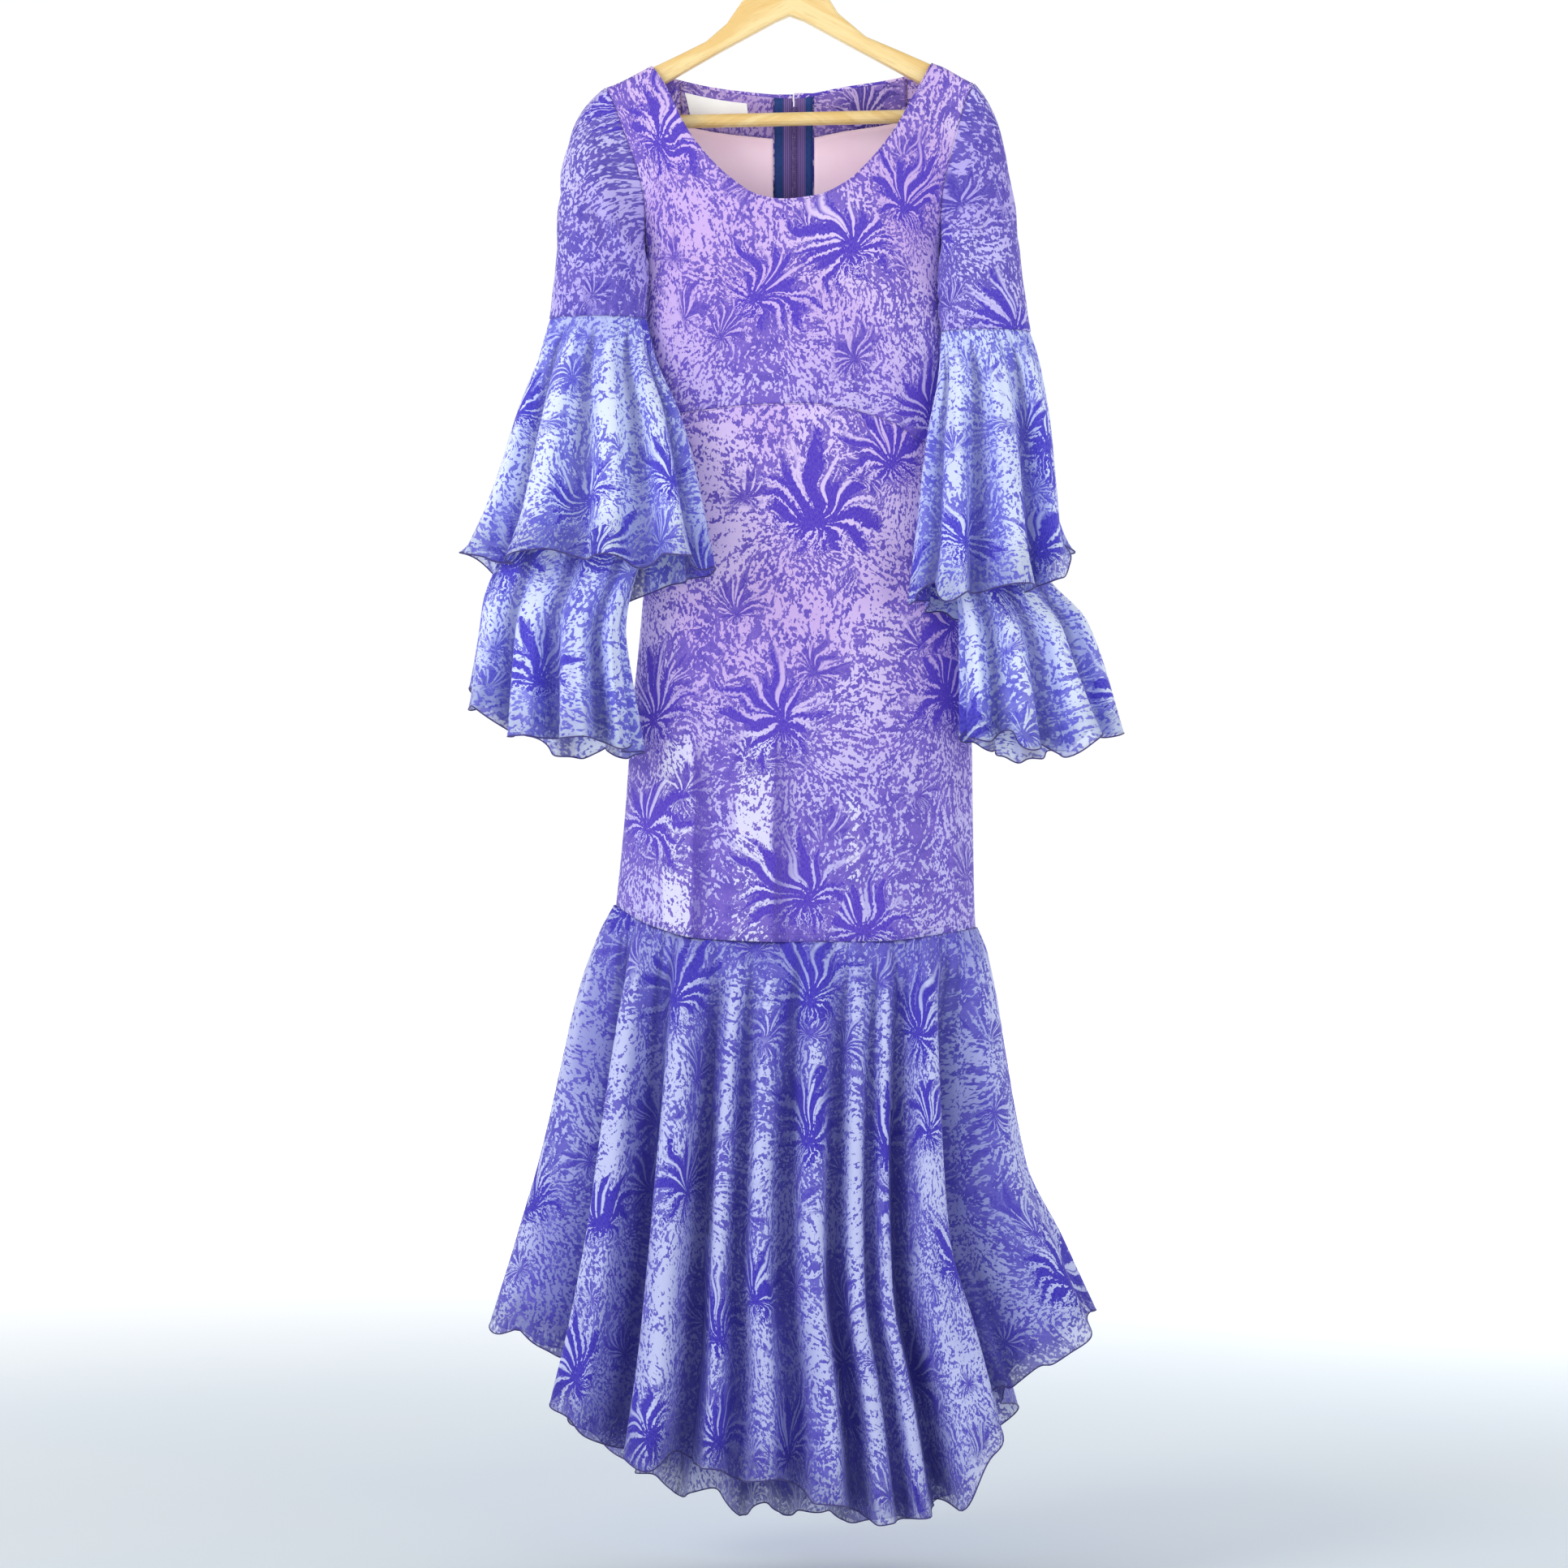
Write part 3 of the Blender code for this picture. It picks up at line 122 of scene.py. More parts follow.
# Cross seams, by place across the body
Seam = namedtuple("Seam", "s front back")
EMPIRE_SEAM = (
    Seam(-1.0, -0.512, -0.512), Seam(-0.72, -0.506, -0.517), Seam(-0.3, -0.500, -0.522),
    Seam(0.05, -0.4985, -0.524), Seam(0.35, -0.504, -0.526), Seam(0.62, -0.515, -0.527),
    Seam(0.85, -0.5345, -0.531), Seam(1.0, -0.540, -0.540),
)
KNEE_SEAM = (
    Seam(-1.0, -0.988, -0.988), Seam(-0.8, -1.006, -1.006), Seam(-0.5, -1.019, -1.020),
    Seam(0.0, -1.022, -1.026), Seam(0.5, -1.021, -1.026), Seam(0.8, -1.015, -1.020),
    Seam(1.0, -1.010, -1.010),
)

# Soft folds of the front: a ridge where depth is positive, a trough where it is not. Each rises over rise on
# its left and falls over fall on its right.
Fold = namedtuple("Fold", "x_top x_end z_top z_end rise fall depth")
FRONT_FOLDS = (
    Fold(-0.060, -0.070, -0.405, -0.515, 0.016, 0.012, -0.0035),
    Fold(0.066, 0.074, -0.410, -0.520, 0.012, 0.016, -0.0030),
    Fold(-0.128, -0.112, -0.385, -0.530, 0.018, 0.010, 0.0030),
    Fold(-0.094, -0.099, -0.790, -1.060, 0.034, 0.010, 0.0080),
    Fold(-0.016, -0.0216, -0.810, -1.060, 0.042, 0.010, 0.0075),
    Fold(0.050, 0.060, -0.560, -0.800, 0.030, 0.030, 0.0040),
    Fold(0.085, 0.098, -0.840, -1.060, 0.026, 0.026, 0.0040),
)
BACK_FOLDS = (
    Fold(-0.070, -0.086, -0.780, -1.060, 0.030, 0.014, 0.0070),
    Fold(0.060, 0.080, -0.800, -1.060, 0.014, 0.034, 0.0070),
)

# Hem flounce: how far it has spread past the knee seam at each share of its drop, its wave depth, and the
# height of its hem all round
Flare = namedtuple("Flare", "drop left right deep wave")
FLARE = (
    Flare(0.0, 0.0, 0.0, 0.0, 0.0008),
    Flare(0.07, 0.009, 0.004, 0.009, 0.0050),
    Flare(0.2, 0.018, 0.004, 0.016, 0.0120),
    Flare(0.4, 0.027, 0.005, 0.023, 0.0200),
    Flare(0.6, 0.038, 0.012, 0.029, 0.0255),
    Flare(0.8, 0.058, 0.044, 0.035, 0.0290),
    Flare(1.0, 0.084, 0.076, 0.041, 0.0310),
)
Hem = namedtuple("Hem", "s front back")
FLOUNCE_HEM = (
    Hem(-1.0, -1.400, -1.400), Hem(-0.87, -1.450, -1.480), Hem(-0.68, -1.512, -1.545),
    Hem(-0.3, -1.527, -1.590), Hem(0.0, -1.542, -1.605), Hem(0.33, -1.572, -1.613),
    Hem(0.62, -1.568, -1.590), Hem(0.71, -1.505, -1.548), Hem(0.80, -1.472, -1.512), Hem(0.93, -1.440, -1.460),
    Hem(1.0, -1.390, -1.390),
)
FLOUNCE_FRONT_VALLEYS = (-0.90, -0.68, -0.37, -0.21, 0.01, 0.27, 0.43, 0.55, 0.82)
FLOUNCE_BACK_VALLEYS = (-0.88, -0.64, -0.47, -0.20, -0.04, 0.22, 0.50, 0.66, 0.90)
FLOUNCE_CURL = 0.0032
WIDEST_WAVE = 1.25       # greatest size of a wave, as a share of the ring's mean one
PARTING = 0.00035        # from a side seam to either half of the flounce, as a share of the ring

# Sleeves: oval rings at each height, from the armhole to the elbow seam. outer and inner are the ends of the
# oval away from the body and towards it, middle is its distance in front of the middle plane.
Ring = namedtuple("Ring", "z outer inner middle deep")
SLEEVES = {
    "left": (
        Ring(-0.180, -0.2250, -0.149, 0.000, 0.024),
        Ring(-0.260, -0.2270, -0.147, 0.020, 0.028),
        Ring(-0.340, -0.2305, -0.1430, 0.031, 0.030),
        Ring(-0.414, -0.2374, -0.1450, 0.032, 0.029),
    ),
    "right": (
        Ring(-0.180, 0.2065, 0.1425, 0.000, 0.022),
        Ring(-0.260, 0.2115, 0.1415, 0.020, 0.026),
        Ring(-0.340, 0.2190, 0.1405, 0.032, 0.028),
        Ring(-0.427, 0.2300, 0.1450, 0.033, 0.028),
    ),
}
CAP_FILL = 0.13          # share of the sleeve's length in which the armhole loop opens to the full oval
ARM_LIFT = 0.0004        # of the sleeve's head above the armhole

# Flutter tiers: the ends of each ring in plan, its half depth between them and the depth of its waves
Tier = namedtuple("Tier", "drop outer_x outer_y inner_x inner_y deep wave")
TIERS = {
    "upper_left": (
        Tier(0.0, -0.2374, -0.032, -0.1450, -0.032, 0.0290, 0.0),
        Tier(0.15, -0.2460, -0.031, -0.1400, -0.048, 0.0310, 0.0025),
        Tier(0.40, -0.2620, -0.030, -0.1210, -0.076, 0.0310, 0.0070),
        Tier(0.70, -0.2800, -0.030, -0.1060, -0.094, 0.0320, 0.0105),
        Tier(1.0, -0.3020, -0.030, -0.0940, -0.104, 0.0340, 0.0140),
    ),
    "lower_left": (
        Tier(0.0, -0.2350, -0.032, -0.1474, -0.032, 0.0268, 0.0),
        Tier(0.10, -0.2450, -0.032, -0.1460, -0.045, 0.0255, 0.0),
        Tier(0.25, -0.2560, -0.034, -0.1340, -0.071, 0.0230, 0.0),
        Tier(0.45, -0.2710, -0.037, -0.1300, -0.083, 0.0210, 0.0),
        Tier(0.60, -0.2830, -0.038, -0.1540, -0.080, 0.0220, 0.0010),
        Tier(0.75, -0.2960, -0.034, -0.1720, -0.072, 0.0260, 0.0070),
        Tier(1.0, -0.2970, -0.030, -0.1660, -0.074, 0.0300, 0.0150),
    ),
    "upper_right": (
        Tier(0.0, 0.2300, -0.033, 0.1450, -0.033, 0.0280, 0.0),
        Tier(0.15, 0.2370, -0.033, 0.1460, -0.048, 0.0300, 0.0025),
        Tier(0.40, 0.2410, -0.034, 0.1400, -0.068, 0.0305, 0.0070),
        Tier(0.70, 0.2430, -0.035, 0.1350, -0.084, 0.0320, 0.0105),
        Tier(1.0, 0.2450, -0.035, 0.1310, -0.094, 0.0340, 0.0140),
    ),
    "lower_right": (
        Tier(0.0, 0.2276, -0.033, 0.1474, -0.033, 0.0258, 0.0),
        Tier(0.10, 0.2320, -0.034, 0.1500, -0.045, 0.0240, 0.0),
        Tier(0.25, 0.2355, -0.036, 0.1455, -0.063, 0.0222, 0.0),
        Tier(0.45, 0.2375, -0.039, 0.1470, -0.073, 0.0198, 0.0),
        Tier(0.60, 0.2450, -0.041, 0.1560, -0.076, 0.0200, 0.0005),
        Tier(0.72, 0.2740, -0.036, 0.1690, -0.076, 0.0250, 0.0070),
        Tier(1.0, 0.2970, -0.032, 0.1800, -0.074, 0.0290, 0.0150),
    ),
}
TIER_BACK = 0.4          # wave depth at the back of a tier, as a share of the front's
ELBOW = {"left": -0.414, "right": -0.427}
TIER_HEMS = {            # heights of the hem at the outer end, the front, the inner end and the back
    "upper_left": (-0.655, -0.652, -0.662, -0.690),
    "lower_left": (-0.788, -0.824, -0.836, -0.842),
    "upper_right": (-0.655, -0.684, -0.690, -0.704),
    "lower_right": (-0.815, -0.838, -0.822, -0.846),
}
TIER_VALLEYS = {
    "upper_left": (0.03, 0.13, 0.25, 0.36, 0.47, 0.58, 0.70, 0.81, 0.92),
    "lower_left": (0.04, 0.16, 0.27, 0.39, 0.50, 0.63, 0.76, 0.89),
    "upper_right": (0.05, 0.18, 0.32, 0.46, 0.59, 0.74, 0.90),
    "lower_right": (0.02, 0.14, 0.26, 0.38, 0.51, 0.64, 0.77, 0.90),
}
TIER_CURL = 0.0022
TIER_GAP = 0.0006
RING_STEP = 0.0005


CURVES = {}              # each column that has been read, with its slopes


def read(table, key, column, where):
    """A column of a table at a place between its rows, on a smooth curve that never overshoots."""
    name = (id(table), key, column)
    if name not in CURVES:
        rows = sorted(table, key=lambda row: getattr(row, key))
        places = [getattr(row, key) for row in rows]
        values = [getattr(row, column) for row in rows]
        slopes = [(values[i + 1] - values[i]) / (places[i + 1] - places[i]) for i in range(len(rows) - 1)]
        tangents = [slopes[0]]
        for before, after in zip(slopes, slopes[1:]):
            tangents.append(0.0 if before * after <= 0 else 2 * before * after / (before + after))
        CURVES[name] = (places, values, tangents + [slopes[-1]])
    places, values, tangents = CURVES[name]
    if where <= places[0]:
        return values[0]
    if where >= places[-1]:
        return values[-1]
    i = bisect_right(places, where) - 1
    span = places[i + 1] - places[i]
    f = (where - places[i]) / span
    return (
        values[i] * (1 + 2 * f) * (1 - f) ** 2
        + values[i + 1] * f * f * (3 - 2 * f)
        + span * (tangents[i] * f * (1 - f) ** 2 - tangents[i + 1] * f * f * (1 - f))
    )


def mix(a, b, f):
    return a + (b - a) * f


def ease(f):
    f = min(max(f, 0.0), 1.0)
    return f * f * (3 - 2 * f)


def oval(s):
    """Half depth of the body's section at s, as a share of its greatest."""
    return (1 - min(abs(s), 1.0) ** ROUNDNESS) ** (1 / ROUNDNESS)


def across(s, z):
    return mix(read(BODY, "z", "left", z), read(BODY, "z", "right", z), (s + 1) / 2)


def place_of(x, z):
    left, right = read(BODY, "z", "left", z), read(BODY, "z", "right", z)
    return min(max(2 * (x - left) / (right - left) - 1, -1.0), 1.0)


def fold_height(folds, x, z):
    """How far the folds raise the cloth at a place."""
    height = 0.0
    for fold in folds:
        along = (z - fold.z_top) / (fold.z_end - fold.z_top)
        if not 0 < along < 1:
            continue
        offset = x - mix(fold.x_top, fold.x_end, along)
        width = fold.rise if offset < 0 else fold.fall
        if abs(offset) < 2 * width:
            start = math.sin(math.pi * min(along, 0.5))
            height += fold.depth * start * math.cos(offset / width * math.pi / 4) ** 2
    return height


def body_point(s, z, face):
    """A point of the body's cloth; face is -1 on the front and 1 on the back."""
    x = across(s, z)
    drop = read(SHOULDER, "x", "z", x) - z
    capped = min(max(drop / CAP_ROUND, 0.0), 1.0)
    cap = math.sqrt(1 - (1 - capped) ** 2)
    hold = read(BODY, "z", "hold", z)
    deep = read(BODY, "z", "front" if face < 0 else "back", z)
    fall = 1 - math.exp(-max(drop, 0.0) / DRAPE)
    share = mix(1.0, ARMHOLE_SHARE, ease((z - UNDERARM) / ARMHOLE_FADE))
    least = oval(share)
    bulge = (oval(s * share) - least) / (1 - least)
    y = cap * (hold + (deep - hold) * fall * bulge) + SHOULDER_GAP * (1 - cap)
    folds = FRONT_FOLDS if face < 0 else BACK_FOLDS
    y += fold_height(folds, x, z) * min(1.0, 3 * oval(s) ** 2)
    return Vector((x, face * max(y, GAP), z))


def armhole_point(side, angle):
    """The sleeve's edge beside the armhole. angle is 0 at the underarm and a quarter turn at the front."""
    edge = "left" if side < 0 else "right"
    tip = SHOULDER[0] if side < 0 else SHOULDER[-1]
    z = mix(UNDERARM, tip.z, (1 - math.cos(angle)) / 2)
    face = -1 if math.sin(angle) >= 0 else 1
    top = math.cos(angle) < -0.999
    under = ((1 + math.cos(angle)) / 2) ** 3
    x = read(BODY, "z", edge, z) if not top else tip.x
    drop = tip.z - z
    capped = min(max(drop / CAP_ROUND, 0.0), 1.0)
    y = math.sqrt(1 - (1 - capped) ** 2) * read(BODY, "z", "hold", z)
    return Vector((x + side * SLEEVE_GAP * (1 + under), face * y, z + ARM_LIFT * (1 - under)))


def phase_at(valleys, turn):
    """Angle within a wave, 0 in a valley, and the share of the ring that the wave takes."""
    turn %= 1.0
    i = bisect_right(valleys, turn) - 1
    low = valleys[i] if i >= 0 else valleys[-1] - 1
    high = valleys[i + 1] if i + 1 < len(valleys) else valleys[0] + 1
    return 2 * math.pi * (turn - low) / (high - low), high - low


def turn_of(s, face):
    half = math.acos(-s) / (2 * math.pi)
    return half if face < 0 else 1 - half


def flounce_base(turn, drop):
    """The flounce's ring without its waves."""
    turn %= 1.0
    face = -1 if turn < 0.5 else 1
    column = "front" if face < 0 else "back"
    s = -math.cos(2 * math.pi * turn)
    z_seam = read(KNEE_SEAM, "s", column, s) - SEAM
    z = mix(z_seam, read(FLOUNCE_HEM, "s", column, s), drop)
    left = read(BODY, "z", "left", z_seam) - read(FLARE, "drop", "left", drop)
    right = read(BODY, "z", "right", z_seam) + read(FLARE, "drop", "right", drop)
    deep = read(BODY, "z", column, z_seam) + read(FLARE, "drop", "deep", drop)
    return Vector((mix(left, right, (s + 1) / 2), face * deep * oval(s), z))


def tier_base(name, turn, drop):
    """A flutter tier's ring without its waves: an oval between its outer and its inner end."""
    rows = TIERS[name]
    side = -1 if name.endswith("left") else 1
    angle = 2 * math.pi * turn
    outer = Vector((read(rows, "drop", "outer_x", drop), read(rows, "drop", "outer_y", drop), 0))
    inner = Vector((read(rows, "drop", "inner_x", drop), read(rows, "drop", "inner_y", drop), 0))
    line = (inner - outer).normalized()
    front = Vector((line.y, -line.x, 0)) * -side
    if front.y > 0:
        front.negate()
    flat = outer.lerp(inner, (1 - math.cos(angle)) / 2)
    point = flat + front * (read(rows, "drop", "deep", drop) * math.sin(angle))
    ends = TIER_HEMS[name]
    quarter = (turn % 1.0) * 4
    i = int(quarter)
    hem = mix(ends[i], ends[(i + 1) % 4], ease(quarter - i))
    top = ELBOW["left" if side < 0 else "right"] - SEAM - (TIER_GAP if name.startswith("lower") else 0)
    point.z = mix(top, hem, drop)
    return point


# ---------------------------------------------------------------- finer form of the cloth
Crease = namedtuple("Crease", "x_top x_end z_top z_end wide depth")
FRONT_CREASES = (        # a ridge where depth is positive, fading at both ends
    Crease(-0.064, -0.073, -0.405, -0.500, 0.0035, -0.0012),
    Crease(0.078, 0.084, -0.410, -0.515, 0.0035, -0.0010),
    Crease(-0.136, -0.085, -0.300, -0.400, 0.009, 0.0018),
    Crease(-0.138, -0.100, -0.340, -0.470, 0.010, -0.0018),
    Crease(0.134, 0.090, -0.300, -0.395, 0.009, 0.0018),
    Crease(0.136, 0.104, -0.345, -0.470, 0.010, -0.0016),
    Crease(-0.100, -0.040, -0.235, -0.330, 0.011, 0.0012),
    Crease(0.105, 0.035, -0.230, -0.335, 0.011, 0.0012),
    Crease(0.020, 0.012, -0.320, -0.480, 0.014, 0.0014),
    Crease(-0.030, -0.022, -0.330, -0.490, 0.012, -0.0012),
    Crease(-0.110, -0.118, -0.540, -0.760, 0.010, 0.0018),
    Crease(-0.040, -0.052, -0.560, -0.860, 0.014, -0.0016),
    Crease(0.010, 0.022, -0.540, -0.800, 0.016, 0.0016),
    Crease(0.095, 0.104, -0.570, -0.820, 0.012, -0.0016),
    Crease(-0.128, -0.134, -0.800, -1.010, 0.009, 0.0022),
    Crease(-0.062, -0.070, -0.860, -1.020, 0.006, 0.0014),
    Crease(0.014, 0.020, -0.850, -1.020, 0.010, -0.0018),
    Crease(0.052, 0.058, -0.880, -1.020, 0.008, 0.0016),
    Crease(0.126, 0.140, -0.820, -1.015, 0.008, -0.0020),
    Crease(0.150, 0.160, -0.860, -1.015, 0.006, 0.0020),
    Crease(-0.090, -0.094, -0.760, -1.270, 0.0060, -0.0032),
    Crease(-0.012, -0.017, -0.780, -1.260, 0.0060, -0.0032),
    Crease(-0.126, -0.130, -0.860, -1.200, 0.0040, -0.0026),
    Crease(0.072, 0.082, -0.900, -1.160, 0.0040, -0.0024),
    Crease(-0.150, -0.152, -0.330, -0.520, 0.010, -0.0022),
)
BACK_CREASES = (
    Crease(-0.060, -0.075, -0.300, -0.500, 0.012, 0.0014),
    Crease(0.064, 0.078, -0.310, -0.500, 0.012, 0.0014),
    Crease(-0.130, -0.090, -0.330, -0.430, 0.010, -0.0014),
    Crease(0.130, 0.092, -0.330, -0.440, 0.010, -0.0014),
    Crease(-0.100, -0.112, -0.560, -0.850, 0.014, 0.0018),
    Crease(-0.044, -0.050, -0.600, -0.900, 0.012, -0.0016),
    Crease(0.050, 0.046, -0.580, -0.900, 0.014, 0.0016),
    Crease(0.106, 0.120, -0.620, -0.960, 0.010, -0.0018),
    Crease(-0.128, -0.140, -0.820, -1.010, 0.008, 0.0020),
    Crease(0.140, 0.150, -0.840, -1.010, 0.008, 0.0018),
)
Edge = namedtuple("Edge", "x_top x_end z_top z_end band fade dark")
PAINTED_FOLD_EDGES = (          # sharp folds: painted highlight for band on their left, and painted shade for about fade on the right
    Edge(-0.0975, -0.0995, -0.800, -1.026, 0.027, 0.020, 0.80),
    Edge(-0.0190, -0.0220, -0.780, -1.026, 0.034, 0.016, 0.90),
    Edge(0.1765, 0.1780, -0.890, -0.992, 0.011, 0.010, 0.0),
    Edge(0.0620, 0.0660, -0.860, -0.990, 0.014, 0.010, 0.45),
)
Gather = namedtuple("Gather", "pitch depth reach")
EMPIRE_GATHER = Gather(0.0115, 0.0008, 0.016)
KNEE_GATHER = Gather(0.0140, 0.0011, 0.026)
RingGather = namedtuple("RingGather", "count depth reach")
HEAD_GATHER = RingGather(32, 0.0008, 0.10)       # of the sleeve in the armhole; reach is a share of the drop
ELBOW_GATHER = RingGather(27, 0.0016, 0.16)      # of the sleeve above the elbow seam
TIER_GATHER = RingGather(27, 0.0017, 0.22)
FLOUNCE_GATHER = RingGather(70, 0.0016, 0.13)
RingHem = namedtuple("RingHem", "count depth start lift")
TIER_HEM = RingHem(17, 0.0060, 0.50, 0.0120)     # ripples of the hem: their depth, where they start, their lift
FLOUNCE_HEM_RIPPLE = RingHem(37, 0.0065, 0.25, 0.0150)
FOLD_POWER = 2.6         # over 2, waves have narrow valleys and broad crowns
Lip = namedtuple("Lip", "turn wide out up")      # where a hem turns outward, and how far it goes out and up
LIPS = {
    "upper_left": (Lip(0.02, 0.035, 0.016, 0.016), Lip(0.20, 0.04, 0.011, 0.006), Lip(0.42, 0.03, 0.010, 0.012)),
    "lower_left": (Lip(0.99, 0.035, 0.003, 0.014), Lip(0.13, 0.03, 0.014, 0.010), Lip(0.35, 0.04, 0.016, 0.008)),
    "upper_right": (Lip(0.04, 0.045, 0.018, 0.020), Lip(0.27, 0.035, 0.016, 0.008), Lip(0.45, 0.03, 0.012, 0.012)),
    "lower_right": (Lip(0.98, 0.035, 0.004, 0.014), Lip(0.17, 0.035, 0.016, 0.010), Lip(0.36, 0.03, 0.014, 0.012)),
}
LIP_START = 0.80         # share of the drop from which a hem turns outward
TALL_FOLD = 0.0080       # height of a body fold that lifts the cloth fully off the lining, giving the palest print and fullest painted highlight
SLOPE_STEP = 0.004       # to each side of a point, for the slope of the body's folds
SLOPE_SHADE, SLOPE_FREE, DARKEST = 1.5, 0.10, 0.95       # painted shade for each unit of downward slope across a fold, its start and its limit
EDGE_WANDER = 0.002      # how far the sharp folds' edges stray from straight
BODY_UNEVEN = 0.0007     # slow rises of the body's cloth
GATHER_PAINTED_LIGHT = 600        # painted shade and highlight for each metre of a body gather's height
# Painted shade and highlight of the ring gathers and of the hem ripples, for each unit of their rise
RING_GATHER_PAINTED_LIGHT, RIPPLE_PAINTED_LIGHT = 0.8, 0.35
FLOUNCE_DRIFT, FLOUNCE_CRUMPLE = 0.0035, 0.0045          # stray of the folds, and of the cloth between them
SLEEVE_SOFT, SLEEVE_TWIST = 0.0040, 0.0022               # slow rises of a sleeve, and its winding folds
SLEEVE_ROUND = 0.26      # width of a sleeve laid open
TIER_FULLNESS, FLOUNCE_FULLNESS = 1.25, 1.1              # length of a gathered edge beside its seam


def ring_noise(turn, scale, seed):
    """Smooth noise round a ring, from about -1 to 1."""
    angle = 2 * math.pi * turn
    return noise.noise(Vector((math.cos(angle) * scale, math.sin(angle) * scale, seed)))


def ring_ripple(turn, count, seed):
    """An uneven run of count ripples round a ring, from -1 to 1."""
    shift = 2.4 * ring_noise(turn, count / 9, seed)
    return math.sin(2 * math.pi * turn * count + shift) * (0.62 + 0.38 * ring_noise(turn, count / 5, seed + 5))


def row_ripple(x, pitch, seed):
    """An uneven run of ripples across a panel, from -1 to 1."""
    shift = 0.9 * noise.noise(Vector((x / pitch / 4, seed, 0.5)))
    size = 0.62 + 0.38 * noise.noise(Vector((x / pitch / 2, seed, 4.5)))
    return math.sin(2 * math.pi * (x / pitch + shift)) * size


def crease_height(creases, x, z):
    height = 0.0
    for crease in creases:
        along = (z - crease.z_top) / (crease.z_end - crease.z_top)
        if 0 < along < 1:
            offset = (x - mix(crease.x_top, crease.x_end, along)) / crease.wide
            if abs(offset) < 3:
                height += crease.depth * math.sin(math.pi * along) * math.exp(-offset * offset)
    return height


def edge_tone(x, z):
    """Painted highlight to the left of the sharp folds of the front and painted shade to their right, as a paler or
    darker print.
    """
    tone = 0.0
    for edge in PAINTED_FOLD_EDGES:
        along = (z - edge.z_top) / (edge.z_end - edge.z_top)
        if 0 < along < 1:
            stray = EDGE_WANDER * noise.noise(Vector((z * 25, x * 5, 2.0)))
            offset = x - mix(edge.x_top, edge.x_end, along) + stray
            start = ease(along * 4)
            if offset >= 0:
                tone -= edge.dark * start * math.exp(-offset / edge.fade)
            elif offset > -1.2 * edge.band:
                tone += start * ease((offset / edge.band + 1.2) * 2.5)
    return tone


def body_cloth(s, z, face):
    """A point of the body's shown cloth, the CAD surface with small creases and the gathers at its seams, and its
    painted light and shade: over 0 where a fold lifts it off the lining, paler there with a painted highlight on the
    fold's rising side, and under 0 for painted shade where folds and creases fall away."""
    point = body_point(s, z, face)
    x = point.x
    column = "front" if face < 0 else "back"
    creases, folds = (FRONT_CREASES, FRONT_FOLDS) if face < 0 else (BACK_CREASES, BACK_FOLDS)
    height = crease_height(creases, x, z)
    before, here, after = (fold_height(folds, at, z) + crease_height(creases, at, z)
                           for at in (x - SLOPE_STEP, x, x + SLOPE_STEP))
    slope = (after - before) / (2 * SLOPE_STEP)
    # Painted shade where folds and creases fall away, and a paler print with painted highlight where a fold lifts the
    # cloth on its rising side
    uneven = 0.80 + 0.55 * noise.noise(Vector((x * 40, z * 9, 6.0 * face)))
    shade = min(DARKEST, max(0.0, -SLOPE_SHADE * slope - SLOPE_FREE) * uneven)
    tone = max(0.0, here) / TALL_FOLD * ease(1 + 6 * slope) - shade
    if face < 0:
        tone += edge_tone(x, z)
    height += BODY_UNEVEN * noise.noise(Vector((x * 16, z * 7, 3.0 * face)))
    # The gathers at the seams ripple the cloth and paint shade in their hollows and highlight on their ridges
    for seam, gather in ((EMPIRE_SEAM, EMPIRE_GATHER), (KNEE_SEAM, KNEE_GATHER)):
        away = abs(z - read(seam, "s", column, s))
        if away < 4 * gather.reach:
            ripple = math.exp(-away / gather.reach) * row_ripple(x, gather.pitch, 2.0 + face)
            height += gather.depth * ripple
            tone += gather.depth * GATHER_PAINTED_LIGHT * ripple
    fade = min(1.0, 3 * oval(s) ** 2) * ease((read(SHOULDER, "x", "z", x) - z) / 0.05)
    point.y += face * height * fade
    return point, tone * fade


def waved(base, turn, drop, valleys, wave, curl, floor, rise=0.0):
    """A point of a waved ring and the outward way there. floor is 0 for waves to both sides of the base ring and
    1 for outward ones."""
    here = base(turn, drop)
    along = base(turn + RING_STEP, drop) - base(turn - RING_STEP, drop)
    along.z = 0
    along.normalize()
    out = Vector((along.y, -along.x, 0))
    angle, share = phase_at(valleys, turn)
    size = min(WIDEST_WAVE, share * len(valleys))
    fold = 1 - 2 * abs(math.cos(angle / 2)) ** FOLD_POWER
    height = wave * size * (floor + fold) + rise
    return here + out * height + along * (curl * min(1.0, size) * math.sin(2 * angle)), out, fold


def flounce_cloth(turn, drop):
    """A point of the hem flounce's shown cloth, and its painted light: painted shade in its valleys and painted
    highlight on its crowns, gathers and hem ripples.
    """
    wave = read(FLARE, "drop", "wave", drop) * (1.3 - 0.3 * drop)
    moved = turn + FLOUNCE_DRIFT * ring_noise(turn, 3.0, 2.5 * drop) * ease(2 * drop)
    gather = math.exp(-drop / FLOUNCE_GATHER.reach) * ring_ripple(turn, FLOUNCE_GATHER.count, 1.0)
    hem = ease((drop - FLOUNCE_HEM_RIPPLE.start) / (1 - FLOUNCE_HEM_RIPPLE.start))
    ripple = hem * ring_ripple(moved, FLOUNCE_HEM_RIPPLE.count, 8.0)
    rise = FLOUNCE_GATHER.depth * gather + FLOUNCE_HEM_RIPPLE.depth * ripple
    rise += FLOUNCE_CRUMPLE * ring_noise(turn, 9.0, 5 + 2 * drop) * ease(drop * 1.5)
    point, _, fold = waved(flounce_base, moved, drop, FLOUNCE_VALLEYS, wave, FLOUNCE_CURL * ease(2 * drop), 0, rise)
    point.z += FLOUNCE_HEM_RIPPLE.lift * drop ** 3 * ring_noise(turn, 8.0, 12.0)
    return point, fold * ease(drop * 9) + RING_GATHER_PAINTED_LIGHT * gather + RIPPLE_PAINTED_LIGHT * ripple


